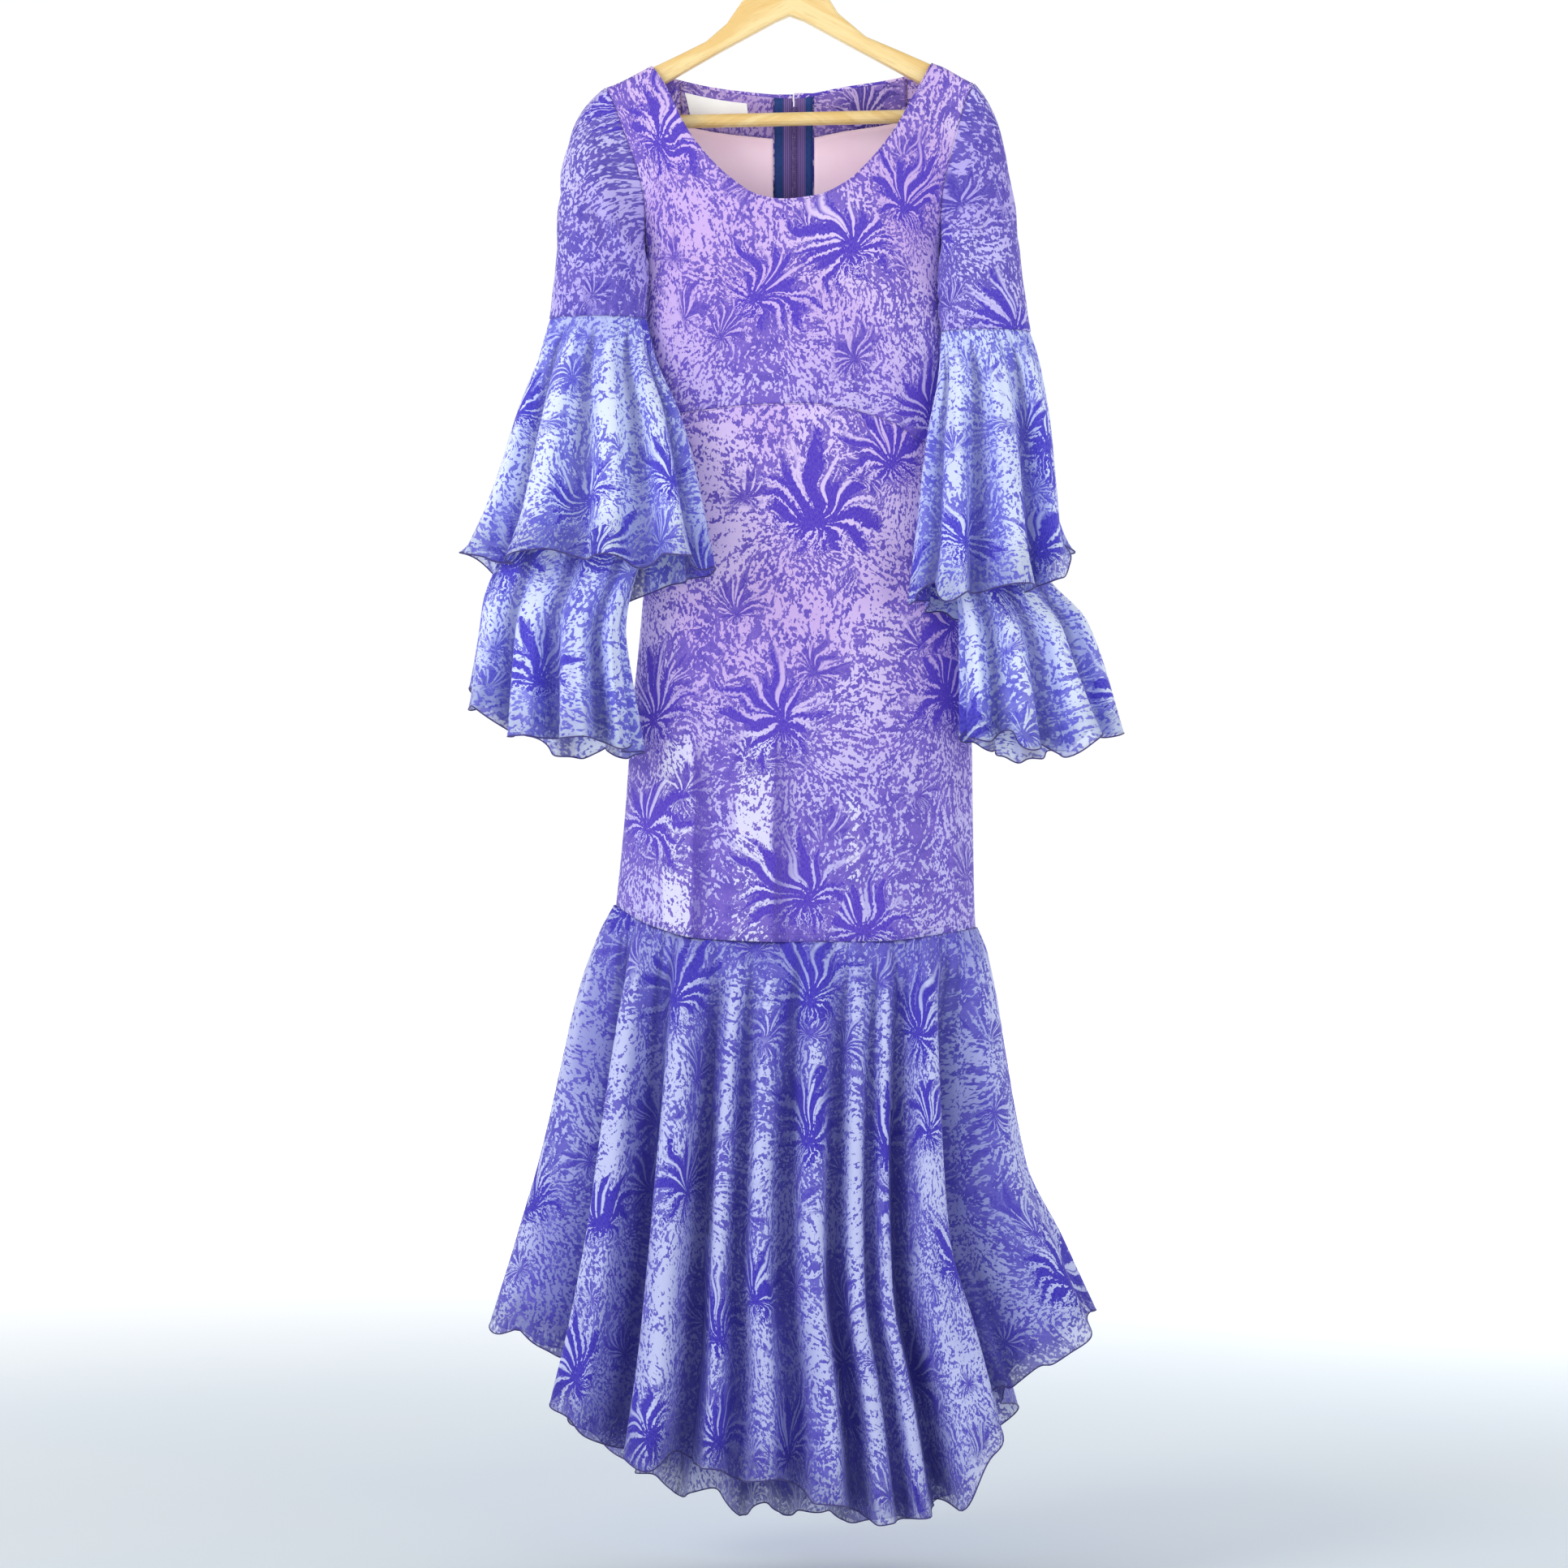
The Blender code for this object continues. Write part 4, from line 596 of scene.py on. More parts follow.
def tier_cloth(name, turn, drop):
    """A point of a flutter tier's shown cloth, and its painted light: painted shade in its valleys and painted
    highlight on its crowns, gathers and hem ripples. The right ring runs the other way round, and is mirrored."""
    rows = TIERS[name]
    seed = 1.0 + list(TIERS).index(name)
    wave = read(rows, "drop", "wave", drop) * (1.25 - 0.15 * drop)
    share = mix(TIER_BACK, 1.0, (1 + math.sin(2 * math.pi * turn)) / 2)
    curl = TIER_CURL * wave / rows[-1].wave
    gather = math.exp(-drop / TIER_GATHER.reach) * ring_ripple(turn, TIER_GATHER.count, 3.0)
    gather *= min(1.0, 0.25 + drop / 0.04)
    hem = ease((drop - TIER_HEM.start) / (1 - TIER_HEM.start))
    ripple = hem * ring_ripple(turn, TIER_HEM.count, seed)
    rise = TIER_GATHER.depth * gather + TIER_HEM.depth * ripple * share
    if name.endswith("left"):
        found = waved(lambda t, d: tier_base(name, t, d), turn, drop, TIER_VALLEYS[name], wave * share, curl, 1, rise)
    else:
        mirrored = tuple(sorted((1 - v) % 1.0 for v in TIER_VALLEYS[name]))
        found = waved(lambda t, d: tier_base(name, 1 - t, d), 1 - turn, drop, mirrored, wave * share, curl, 1, rise)
    point, out, fold = found
    point.z += TIER_HEM.lift * drop ** 3 * ring_noise(turn, 3.0, seed + 20)
    turned = max(0.0, (drop - LIP_START) / (1 - LIP_START))
    for lip in LIPS[name]:
        away = abs((turn - lip.turn + 0.5) % 1.0 - 0.5) / lip.wide
        if away < 2:
            share = math.cos(away * math.pi / 4) ** 2
            point += out * (lip.out * share * turned)
            point.z += lip.up * share * turned ** 2
    return point, 0.9 * fold * ease(drop * 6) + RING_GATHER_PAINTED_LIGHT * gather + RIPPLE_PAINTED_LIGHT * ripple


def sleeve_cloth(side, turn, f):
    """A point of a sleeve's shown cloth, and its painted light: painted shade and highlight that follow its gathers
    and folds; turn is 0 at the underarm, and f runs from the armhole to the elbow."""
    word = "left" if side < 0 else "right"
    rings = SLEEVES[word]
    opened = (1 - math.exp(-f / CAP_FILL)) / (1 - math.exp(-1 / CAP_FILL))
    angle = 2 * math.pi * turn
    start = armhole_point(side, angle)
    z = mix(start.z, ELBOW[word] + SEAM, f)
    outer, inner = read(rings, "z", "outer", z), read(rings, "z", "inner", z)
    elbow = math.exp((f - 1) / ELBOW_GATHER.reach) * ring_ripple(turn, ELBOW_GATHER.count, 3.0)
    head = math.exp(-f / HEAD_GATHER.reach) * ring_ripple(turn, HEAD_GATHER.count, 6.0) * ease(f * 12)
    rise = ELBOW_GATHER.depth * elbow + HEAD_GATHER.depth * head
    soft = ring_noise(turn, 1.6, 9 + side + 4 * f) * math.sin(math.pi * f)
    twist = math.sin(2 * math.pi * (3 * turn + 2.2 * f)) * math.sin(math.pi * f) ** 2
    rise += SLEEVE_SOFT * soft + SLEEVE_TWIST * twist
    half = (outer - inner) / 2 + math.copysign(rise, outer - inner)
    x = mix(start.x, (outer + inner) / 2 - half * math.cos(angle), opened)
    deep = read(rings, "z", "deep", z) + rise
    y = mix(start.y, -read(rings, "z", "middle", z) - deep * math.sin(angle), opened)
    return Vector((x, y, z)), 0.7 * elbow + 0.4 * head + 0.6 * soft + 0.35 * twist


# ---------------------------------------------------------------- building shells
MADE, CUTS = {}, {}      # the shown pieces, and the width, length and area of each sheet's cut


def shell(name, rows, tones, cuts, look, wall, closed=False):
    """A thin closed shell round a grid of points and their painted light and shade. cuts holds each point's place on
    the flat cut and its distance from a free hem, with one column more where the grid closes on itself."""
    count = len(rows[0])
    points = [tuple(point) for row in rows for point in row]
    faces, flat = [], []
    for j in range(len(rows) - 1):
        for i in range(count if closed else count - 1):
            k = (i + 1) % count
            faces.append((j * count + i, (j + 1) * count + i, (j + 1) * count + k, j * count + k))
            flat += [cuts[j][i], cuts[j + 1][i], cuts[j + 1][i + 1], cuts[j][i + 1]]
    mesh = bpy.data.meshes.new(name)
    mesh.from_pydata(points, [], faces)
    place = mesh.attributes.new("cut", "FLOAT_VECTOR", "CORNER")
    place.data.foreach_set("vector", [value for corner in flat for value in corner])
    shade = mesh.attributes.new("tone", "FLOAT", "POINT")
    shade.data.foreach_set("value", [tone for row in tones for tone in row])
    mesh.shade_smooth()
    mesh.materials.append(look)
    made = bpy.data.objects.new(name, mesh)
    bpy.context.scene.collection.objects.link(made)
    thick = made.modifiers.new("wall", "SOLIDIFY")
    thick.thickness, thick.offset = wall, 0.0
    corners = [corner for row in cuts for corner in row]
    wide, long = (max(c[k] for c in corners) - min(c[k] for c in corners) for k in (0, 1))
    area = 0.0
    for k in range(0, len(flat), 4):
        a, b, c, d = flat[k:k + 4]
        area += abs((c[0] - a[0]) * (d[1] - b[1]) - (d[0] - b[0]) * (c[1] - a[1])) / 2
    CUTS[name] = (wide, long, area)
    MADE[name] = made
    return made


def split(pairs):
    """A grid of points and a grid of their painted light and shade, from a grid of both."""
    return [[point for point, _ in row] for row in pairs], [[tone for _, tone in row] for row in pairs]


def thread(name, paths, radius, look, closed=False, sides=6):
    """One tube along each path, joined in one mesh."""
    points, faces = [], []
    for path in paths:
        first, count = len(points), len(path)
        for i, here in enumerate(path):
            before = path[i - 1] if closed or i else here
            after = path[(i + 1) % count] if closed or i < count - 1 else here
            along = (after - before).normalized()
            aside = along.cross(Vector((0, 1, 0.2))).normalized()
            up = aside.cross(along)
            for k in range(sides):
                a = 2 * math.pi * k / sides
                points.append(here + (aside * math.cos(a) + up * math.sin(a)) * radius)
        for i in range(count if closed else count - 1):
            j = (i + 1) % count
            for k in range(sides):
                m = (k + 1) % sides
                a, b = first + i * sides, first + j * sides
                faces.append((a + k, a + m, b + m, b + k))
        if not closed:
            faces.append(tuple(first + k for k in range(sides)))
            faces.append(tuple(first + (count - 1) * sides + k for k in reversed(range(sides))))
    mesh = bpy.data.meshes.new(name)
    mesh.from_pydata(points, [], faces)
    mesh.shade_smooth()
    mesh.materials.append(look)
    made = bpy.data.objects.new(name, mesh)
    bpy.context.scene.collection.objects.link(made)
    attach(made, "dress")
    MADE[name] = made
    return made


def stitches(name, paths, pitch, length, radius, look):
    """A run of short thread pieces along each path, one every pitch."""
    dashes = []
    for path in paths:
        due = pitch / 2
        for a, b in zip(path, path[1:]):
            span = (b - a).length
            while due < span:
                middle, way = a.lerp(b, due / span), (b - a).normalized() * (length / 2)
                dashes.append([middle - way, middle + way])
                due += pitch
            due -= span
    return thread(name, dashes, radius, look, sides=4)


def stand_for(name, nodes):
    """Attaches a cloth piece to the dress's body and hides the CAD nodes that it stands for."""
    made = MADE[name]
    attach(made, "dress")
    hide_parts(*nodes)


def body_cut(s, z, face, shift):
    """The place on the flat cut of a point of a body panel."""
    deep = read(BODY, "z", "front" if face < 0 else "back", z)
    return (across(s, z) + math.copysign(0.6 * deep * abs(s) ** 6, s) + shift[0], z + shift[1], 1.0)


Column = namedtuple("Column", "s_top z_top s_end z_end x", defaults=(None,))


def panel(name, columns, rows, face, look, shift, wall=WALL):
    """A body panel between the tops and the ends of its columns. A column with an x runs straight down there."""
    pairs, cuts = [], []
    for j in range(rows + 1):
        share = (j / rows) ** 1.35
        line, cut = [], []
        for c in columns:
            z = mix(c.z_top, c.z_end, share)
            s = mix(c.s_top, c.s_end, ease(share)) if c.x is None else place_of(c.x, z)
            line.append(body_cloth(s, z, face))
            cut.append(body_cut(s, z, face, shift))
        pairs.append(line)
        cuts.append(cut)
    grid, tones = split(pairs)
    shell(name, grid, tones, cuts, look, wall)
    return grid


def spread(count, low=-1.0, high=1.0):
    """Places across the body, closer together towards its edges."""
    first, last = math.asin(low), math.asin(high)
    return [math.sin(mix(first, last, i / count)) for i in range(count + 1)]


def bodice_front(look):
    strap, middle = 14, 60
    start, end = SHOULDER[0].x + EDGE_IN, SHOULDER[-1].x - EDGE_IN
    tops = [(mix(start, NECK_LEFT, i / strap), SHOULDER) for i in range(strap)]
    tops += [(mix(NECK_LEFT, NECK_RIGHT, mix(i / middle, (1 - math.cos(math.pi * i / middle)) / 2, 0.5)), FRONT_NECK)
             for i in range(middle + 1)]
    tops += [(mix(NECK_RIGHT, end, (i + 1) / strap), SHOULDER) for i in range(strap)]
    columns = []
    for (x, edge), s_end in zip(tops, spread(len(tops) - 1)):
        z = read(edge, "x", "z", x)
        s_top = -1.0 if x == start else 1.0 if x == end else place_of(x, z)
        columns.append(Column(s_top, z, s_end, read(EMPIRE_SEAM, "s", "front", s_end) + SEAM))
    return panel("bodice_front_cloth", columns, 84, -1, look, (0.0, 0.0))


def bodice_back(side, look):
    word, strap, middle = ("left" if side < 0 else "right"), 12, 30
    neck = NECK_LEFT if side < 0 else NECK_RIGHT
    end = SHOULDER[0].x + EDGE_IN if side < 0 else SHOULDER[-1].x - EDGE_IN
    near = side * TAPE_WIDTH
    z_near, z_end = read(BACK_NECK, "x", "z", near), read(EMPIRE_SEAM, "s", "back", 0.0) + SEAM
    columns = [Column(0, z_near, 0, z_end, side * mix(SLIT, TAPE_WIDTH, i / 6)) for i in range(7)]
    tops = [(mix(near, neck, i / middle), BACK_NECK) for i in range(1, middle)]
    tops += [(mix(neck, end, i / strap), SHOULDER) for i in range(strap + 1)]
    first = math.asin(abs(place_of(near, z_end)))
    for i, (x, edge) in enumerate(tops):
        z = read(edge, "x", "z", x)
        s_end = side * math.sin(mix(first, math.pi / 2, (i + 1) / len(tops)))
        s_top = side if i == len(tops) - 1 else place_of(x, z)
        columns.append(Column(s_top, z, s_end, read(EMPIRE_SEAM, "s", "back", s_end) + SEAM))
    return panel(f"bodice_back_{word}_cloth", columns, 70, 1, look, (0.9 * side, 1.3))


def skirt_front(look):
    columns = [Column(s, read(EMPIRE_SEAM, "s", "front", s) - SEAM, s, read(KNEE_SEAM, "s", "front", s) + SEAM)
               for s in spread(110)]
    return panel("skirt_front_cloth", columns, 96, -1, look, (2.05, 0.34))


def skirt_back(side, look):
    word = "left" if side < 0 else "right"
    z_top, z_end = (read(seam, "s", "back", 0.0) for seam in (EMPIRE_SEAM, KNEE_SEAM))
    columns = [Column(0, z_top - SEAM, 0, z_end + SEAM, side * mix(SLIT, TAPE_WIDTH, i / 6)) for i in range(7)]
    first = math.asin(abs(place_of(TAPE_WIDTH, z_top)))
    for i in range(1, 49):
        s = side * math.sin(mix(first, math.pi / 2, i / 48))
        columns.append(Column(s, read(EMPIRE_SEAM, "s", "back", s) - SEAM, s, read(KNEE_SEAM, "s", "back", s) + SEAM))
    return panel(f"skirt_back_{word}_cloth", columns, 80, 1, look, (3.4 * side, 0.5))


def fan_cuts(grid, fullness, shift, closed):
    """Places on a cut that is a sector of a ring, from the grid's own lengths: its top edge times fullness, its
    middle row and its drop. shift moves the cut, so that each piece shows its own stretch of the print."""
    def run(row):
        total, marks = 0.0, [0.0]
        for a, b in zip(row, row[1:] + (row[:1] if closed else [])):
            total += (b - a).length
            marks.append(total)
        return marks
    top, hem = run(grid[0]), run(grid[-1])
    falls = [[0.0] for _ in grid[0]]
    for upper, lower in zip(grid, grid[1:]):
        for fall, a, b in zip(falls, upper, lower):
            fall.append(fall[-1] + (b - a).length)
    if closed:
        falls.append(falls[0])
    mean = sum(fall[-1] for fall in falls) / len(falls)
    inner = top[-1] * fullness
    middle = run(grid[len(grid) // 2])[-1]
    sector = max(2 * (middle - inner), 0.05) / mean
    radius = inner / sector
    cuts = []
    for j in range(len(grid)):
        row = []
        for i, fall in enumerate(falls):
            turn = sector * (hem[i] / hem[-1] - 0.5)
            out = radius + fall[j]
            row.append((out * math.sin(turn) + shift[0], shift[1] - out * math.cos(turn), fall[-1] - fall[j]))
        cuts.append(row)
    return cuts


def sleeve(side, look):
    word, columns, rows = ("left" if side < 0 else "right"), 96, 52
    grid, tones = split([[sleeve_cloth(side, i / columns, (j / rows) ** 1.25) for i in range(columns)]
                         for j in range(rows + 1)])
    cuts = [[(SLEEVE_ROUND * i / columns + 4.1 * side, row[i % columns].z, 1.0) for i in range(columns + 1)]
            for row in grid]
    shell(f"sleeve_{word}_cloth", grid, tones, cuts, look, WALL, closed=True)


def sleeve_tier(name, look, seed):
    step, side = name.split("_")
    columns, rows = 200, 58
    grid, tones = split([[tier_cloth(name, i / columns, (j / rows) ** 1.1) for i in range(columns)]
                         for j in range(rows + 1)])
    cuts = fan_cuts(grid, TIER_FULLNESS, (seed, 0.7 * seed), True)
    shell(f"sleeve_tier_{step}_{side}_cloth", grid, tones, cuts, look, THIN, closed=True)
    return grid


def hem_flounce(face, look):
    word, columns, rows = ("front" if face < 0 else "back"), 300, 110
    start, end = (PARTING, 0.5 - PARTING) if face < 0 else (0.5 + PARTING, 1 - PARTING)
    grid, tones = split([[flounce_cloth(mix(start, end, i / columns), (j / rows) ** 1.12) for i in range(columns + 1)]
                         for j in range(rows + 1)])
    cuts = fan_cuts(grid, FLOUNCE_FULLNESS, (6.0 * face, 8.2), False)
    shell(f"hem_flounce_{word}_cloth", grid, tones, cuts, look, THIN)
    return grid


def inner_sheet(name, side, x_low, x_high, top, end, inward, look, rows=24, columns=14):
    """A sheet on the inside of a back half, between two places beside the zip and two heights."""
    grid, cuts = [], []
    for j in range(rows + 1):
        line, cut = [], []
        for i in range(columns + 1):
            x = side * mix(x_low, x_high, i / columns)
            z = mix(top(x), end(x), j / rows)
            step = 0.002
            s = place_of(x, z)
            here, _ = body_cloth(s, z, 1)
            along = body_point(s + step, z, 1) - body_point(s - step, z, 1)
            down = body_point(s, z - step, 1) - body_point(s, z + step, 1)
            normal = along.cross(down).normalized()
            if normal.y > 0:
                normal.negate()
            line.append(here + normal * inward)
            cut.append((x, z, 1.0))
        grid.append(line)
        cuts.append(cut)
    shell(name, grid, [[0.0] * (columns + 1)] * (rows + 1), cuts, look, THIN)


# ---------------------------------------------------------------- materials
def srgb(red, green, blue):
    """An 8-bit sRGB colour as Blender's linear one."""
    return tuple(c / 12.92 if c <= 0.04045 else ((c + 0.055) / 1.055) ** 2.4
                 for c in (red / 255, green / 255, blue / 255)) + (1.0,)


class Net:
    """A material's nodes, made by short calls. A value is a number, a colour or another node's output."""

    def __init__(self, name, roughness=0.8, **settings):
        self.material = bpy.data.materials.new(name)
        self.material.use_nodes = True
        self.tree = self.material.node_tree
        self.shader = self.tree.nodes["Principled BSDF"]
        self.set("Roughness", roughness)
        for socket, value in settings.items():
            self.set(socket.replace("_", " "), value)

    def put(self, socket, value):
        if isinstance(value, bpy.types.NodeSocket):
            self.tree.links.new(value, socket)
        else:
            socket.default_value = value

    def set(self, socket, value):
        self.put(self.shader.inputs[socket], value)

    def node(self, kind, named=None, out=0, values=(), **settings):
        made = self.tree.nodes.new("ShaderNode" + kind)
        for key, value in settings.items():
            setattr(made, key, value)
        for socket, value in zip(made.inputs, values):
            self.put(socket, value)
        for key, value in (named or {}).items():
            self.put(made.inputs[key], value)
        return made if out is None else made.outputs[out]

    def math(self, operation, *values):
        return self.node("Math", values=values, operation=operation)

    def vector(self, operation, *values, out=0):
        return self.node("VectorMath", values=values, operation=operation, out=out)

    def scaled(self, place, by):
        return self.vector("MULTIPLY", place, by)

    def noise(self, place, scale, detail=2.0, distortion=0.0, out=0):
        named = {"Vector": place, "Scale": scale, "Detail": detail, "Distortion": distortion}
        return self.node("TexNoise", named, out=out)

    def step(self, value, low, high, start=0.0, end=1.0):
        """start below low and end above high, and a smooth step between."""
        return self.node("MapRange", values=(value, low, high, start, end), interpolation_type="SMOOTHSTEP")

    def blend(self, share, a, b):
        made = self.node("Mix", out=None, data_type="RGBA")
        for socket, value in ((0, share), (6, a), (7, b)):
            self.put(made.inputs[socket], value)
        return made.outputs[2]

    def parts(self, place):
        made = self.node("SeparateXYZ", values=(place,), out=None)
        return made.outputs

    def join(self, x, y, z=0.0):
        return self.node("CombineXYZ", values=(x, y, z))

    def bump(self, height, strength, distance):
        self.set("Normal", self.node("Bump", {"Strength": strength, "Distance": distance, "Height": height}))


def blades(net, angle, reach, pick, number, seed, wide, short, long, pointed):
    """Blades that radiate, number of them in a whole turn: 1 inside a blade and 0 outside. wide is a blade's
    half width beside a reach of 1; a pointed blade tapers at both ends, and the others from the middle out."""
    turn = net.math("MULTIPLY_ADD", angle, number / (2 * math.pi), net.math("MULTIPLY", pick, 7.0))
    sector = net.math("FLOOR", turn)
    chance = net.node("TexWhiteNoise", out=None, noise_dimensions="1D")
    net.put(chance.inputs["W"], net.math("ADD", sector, net.math("MULTIPLY_ADD", pick, 91.0, seed)))
    other = net.parts(chance.outputs["Color"])
    middle = net.math("MULTIPLY_ADD", other[1], 0.4, 0.3)
    away = net.math("ABSOLUTE", net.math("SUBTRACT", net.math("SUBTRACT", turn, sector), middle))
    length = net.math("MULTIPLY_ADD", chance.outputs["Value"], long - short, short)
    along = net.math("MINIMUM", net.math("DIVIDE", reach, length), 1.0)
    rest = net.math("SUBTRACT", 1.0, along)
    if pointed:
        start = net.math("MAXIMUM", net.math("SUBTRACT", along, 0.15), 0.0)
        rest = net.math("MULTIPLY", net.math("MULTIPLY", rest, start), 5.0)
    half = net.math("DIVIDE", net.math("MULTIPLY", net.math("POWER", rest, 0.8), wide * number / (2 * math.pi)),
                    net.math("MAXIMUM", reach, 0.05))
    return net.step(net.math("SUBTRACT", half, away), 0.0, 0.08)


def tufts(net, place, rough, spacing, seed):
    """Fans of pale blades over dark ones, one in each cell of a jittered grid, with edges roughened by rough.
    Gives how dark they make the cloth, how far they cover the ground, the angle and distance from the nearest
    one, and its reach there."""
    moved = net.vector("ADD", place, (seed, 0.6 * seed, 0.0))
    warp = net.vector("SUBTRACT", net.noise(moved, 18.0, 1.0, out=1), (0.5, 0.5, 0.5))
    moved = net.vector("ADD", moved, net.scaled(warp, (0.045, 0.045, 0.0)))
    cell = net.node("TexVoronoi", {"Vector": moved, "Scale": 1 / spacing, "Randomness": 0.85}, out=None,
                    voronoi_dimensions="2D")
    picks = net.parts(cell.outputs["Color"])
    flat = net.parts(net.vector("SUBTRACT", moved, cell.outputs["Position"]))
    distance = net.math("SQRT", net.math("ADD", net.math("POWER", flat[0], 2.0), net.math("POWER", flat[1], 2.0)))
    lean = net.math("MULTIPLY_ADD", picks[1], 1.3, -0.65)
    angle = net.math("SUBTRACT", net.math("ARCTAN2", flat[0], flat[1]), lean)
    angle = net.math("WRAP", angle, math.pi, -math.pi)
    size = net.math("MULTIPLY_ADD", picks[0], 0.20 * spacing, 0.44 * spacing)
    lobe = net.math("MULTIPLY_ADD", net.math("COSINE", angle), 0.32, 0.66)
    reach = net.math("DIVIDE", distance, net.math("MULTIPLY", size, lobe))
    reach = net.math("MAXIMUM", net.math("MULTIPLY_ADD", rough, 0.55, net.math("SUBTRACT", reach, 0.275)), 0.02)
    drooped = net.math("DIVIDE", angle, net.math("MULTIPLY_ADD", net.math("MINIMUM", reach, 1.3), 0.50, 1.0))
    dark = net.math("MAXIMUM", blades(net, drooped, reach, picks[2], 25, 3.0, 0.135, 0.55, 1.20, False),
                    net.step(reach, 0.34, 0.26))
    pale = net.math("MAXIMUM", blades(net, drooped, reach, picks[2], 17, 40.0, 0.026, 0.60, 1.20, True),
                    blades(net, drooped, reach, picks[0], 11, 70.0, 0.034, 0.90, 1.55, True))
    ink = net.math("MULTIPLY", dark, net.math("SUBTRACT", 1.0, pale))
    return ink, net.math("MAXIMUM", dark, pale), angle, distance, reach


# The third colour of each dye is the paler ground where the cloth lifts off the lining, also used as painted
# highlight; the last is painted shade.
Dye = namedtuple("Dye", "ground pale bare mid ink deep shade")
BODY_DYE = Dye(srgb(206, 176, 234), srgb(224, 204, 246), srgb(228, 226, 252), srgb(104, 76, 194), srgb(80, 52, 184),
               srgb(74, 44, 190), srgb(72, 46, 168))
SLEEVE_DYE = Dye(srgb(180, 168, 234), srgb(204, 198, 246), srgb(220, 218, 252), srgb(84, 64, 182), srgb(66, 44, 174),
                 srgb(66, 42, 188), srgb(50, 32, 130))
TIER_DYE = Dye(srgb(182, 192, 244), srgb(210, 222, 254), srgb(228, 238, 255), srgb(108, 106, 218), srgb(80, 74, 210),
               srgb(62, 48, 200), srgb(46, 42, 140))
FLOUNCE_DYE = Dye(srgb(152, 156, 218), srgb(180, 186, 236), srgb(204, 210, 248), srgb(90, 82, 196), srgb(68, 54, 186),
                  srgb(52, 34, 182), srgb(38, 36, 134))
FACING_DYE = Dye(srgb(184, 158, 216), srgb(204, 184, 230), srgb(214, 200, 236), srgb(116, 88, 184), srgb(90, 64, 170),
                 srgb(66, 44, 150), srgb(48, 28, 110))


def print_look(name, dye, spacing=0.150, density=0.0, sheer=0.0, low=0.0):
    """Printed chiffon: tufts of blades over a ground of strokes and flecks. Painted light over 0 makes the ground
    paler with less ink, as painted highlight and as cloth lifted off the lining, and painted light under 0 darkens it
    with painted shade; sheer thins it towards a free hem."""
    net = Net(name, Sheen_Weight=0.10, Sheen_Roughness=0.5)
    x, y, free = net.parts(net.node("Attribute", attribute_name="cut", out=1))
    tone = net.node("Attribute", attribute_name="tone", out=2)
    flat = net.join(x, y)
    flecks = net.noise(net.scaled(flat, (1.0, 0.75, 1.0)), 330.0, 1.0, 0.5)
    ink, cover, angle, distance, reach = tufts(net, flat, flecks, spacing, 0.37)
    small, small_cover, _, _, _ = tufts(net, flat, flecks, spacing * 0.55, 5.2)

    far = net.math("LOGARITHM", net.math("MAXIMUM", distance, 0.002), math.e)
    spokes = net.join(net.math("MULTIPLY", net.math("COSINE", angle), 20.0),
                      net.math("MULTIPLY", net.math("SINE", angle), 20.0), net.math("MULTIPLY", far, 7.0))
    strokes = net.noise(spokes, 1.0, 1.5, 0.3)
    patches = net.noise(flat, 13.0, 2.0)
    level = net.math("ADD", net.math("MULTIPLY", strokes, 0.50), net.math("MULTIPLY", flecks, 0.50))
    limit = net.math("MULTIPLY_ADD", patches, -0.30, 0.660 - density)
    limit = net.math("MULTIPLY_ADD", net.step(reach, 1.6, 0.7), -0.045, limit)
    # Paler ground with less ink where the cloth lifts off the lining, and as painted highlight
    lifted = net.step(tone, 0.35, 1.10)
    limit = net.math("MULTIPLY_ADD", lifted, 0.045, limit)
    down = net.step(y, -0.34, -0.62, 0.0, low)
    limit = net.math("MULTIPLY_ADD", down, -0.045, limit)
    ground = net.step(net.math("SUBTRACT", level, limit), -0.016, 0.024)

    faint = net.math("MULTIPLY", small_cover, net.step(patches, 0.46, 0.54))
    base = net.blend(net.step(net.noise(flat, 6.0, 2.0), 0.40, 0.62), dye.ground, dye.pale)
    base = net.blend(down, base, srgb(194, 188, 240))
    # Painted highlight and lifted cloth: the ground turns to the dye's palest colour
    base = net.blend(net.math("MULTIPLY", lifted, 0.85), base, dye.bare)
    stroke = net.blend(net.step(net.noise(flat, 60.0, 2.0), 0.42, 0.60), dye.mid, dye.ink)
    colour = net.blend(net.math("MULTIPLY", ground, 0.94), base, stroke)
    colour = net.blend(net.math("MULTIPLY", faint, 0.9), colour, net.blend(small, base, dye.ink))
    colour = net.blend(cover, colour, net.blend(ink, base, dye.deep))
    # Painted shade: creases, valleys and falling sides of folds darken towards the dye's shade colour
    colour = net.blend(net.step(tone, -0.08, -1.05, 0.0, 0.70), colour, dye.shade)
    threads = net.noise(net.scaled(flat, (1.0, 0.35, 1.0)), 900.0, 1.0)
    net.set("Base Color", net.blend(net.step(threads, 0.30, 0.70, 0.0, 0.08), colour, dye.pale))
    net.set("Roughness", net.math("MULTIPLY_ADD", ground, -0.10, 0.88))
    crepe = net.math("ADD", threads, net.math("MULTIPLY", net.noise(flat, 260.0, 1.0), 0.8))
    net.bump(crepe, 0.22, 0.0004)
    if sheer:
        thin = net.step(free, 0.0, 0.055, sheer, 1.0)
        net.set("Alpha", net.math("MINIMUM", net.math("MULTIPLY_ADD", ground, 0.22, thin), 1.0))
    return net.material


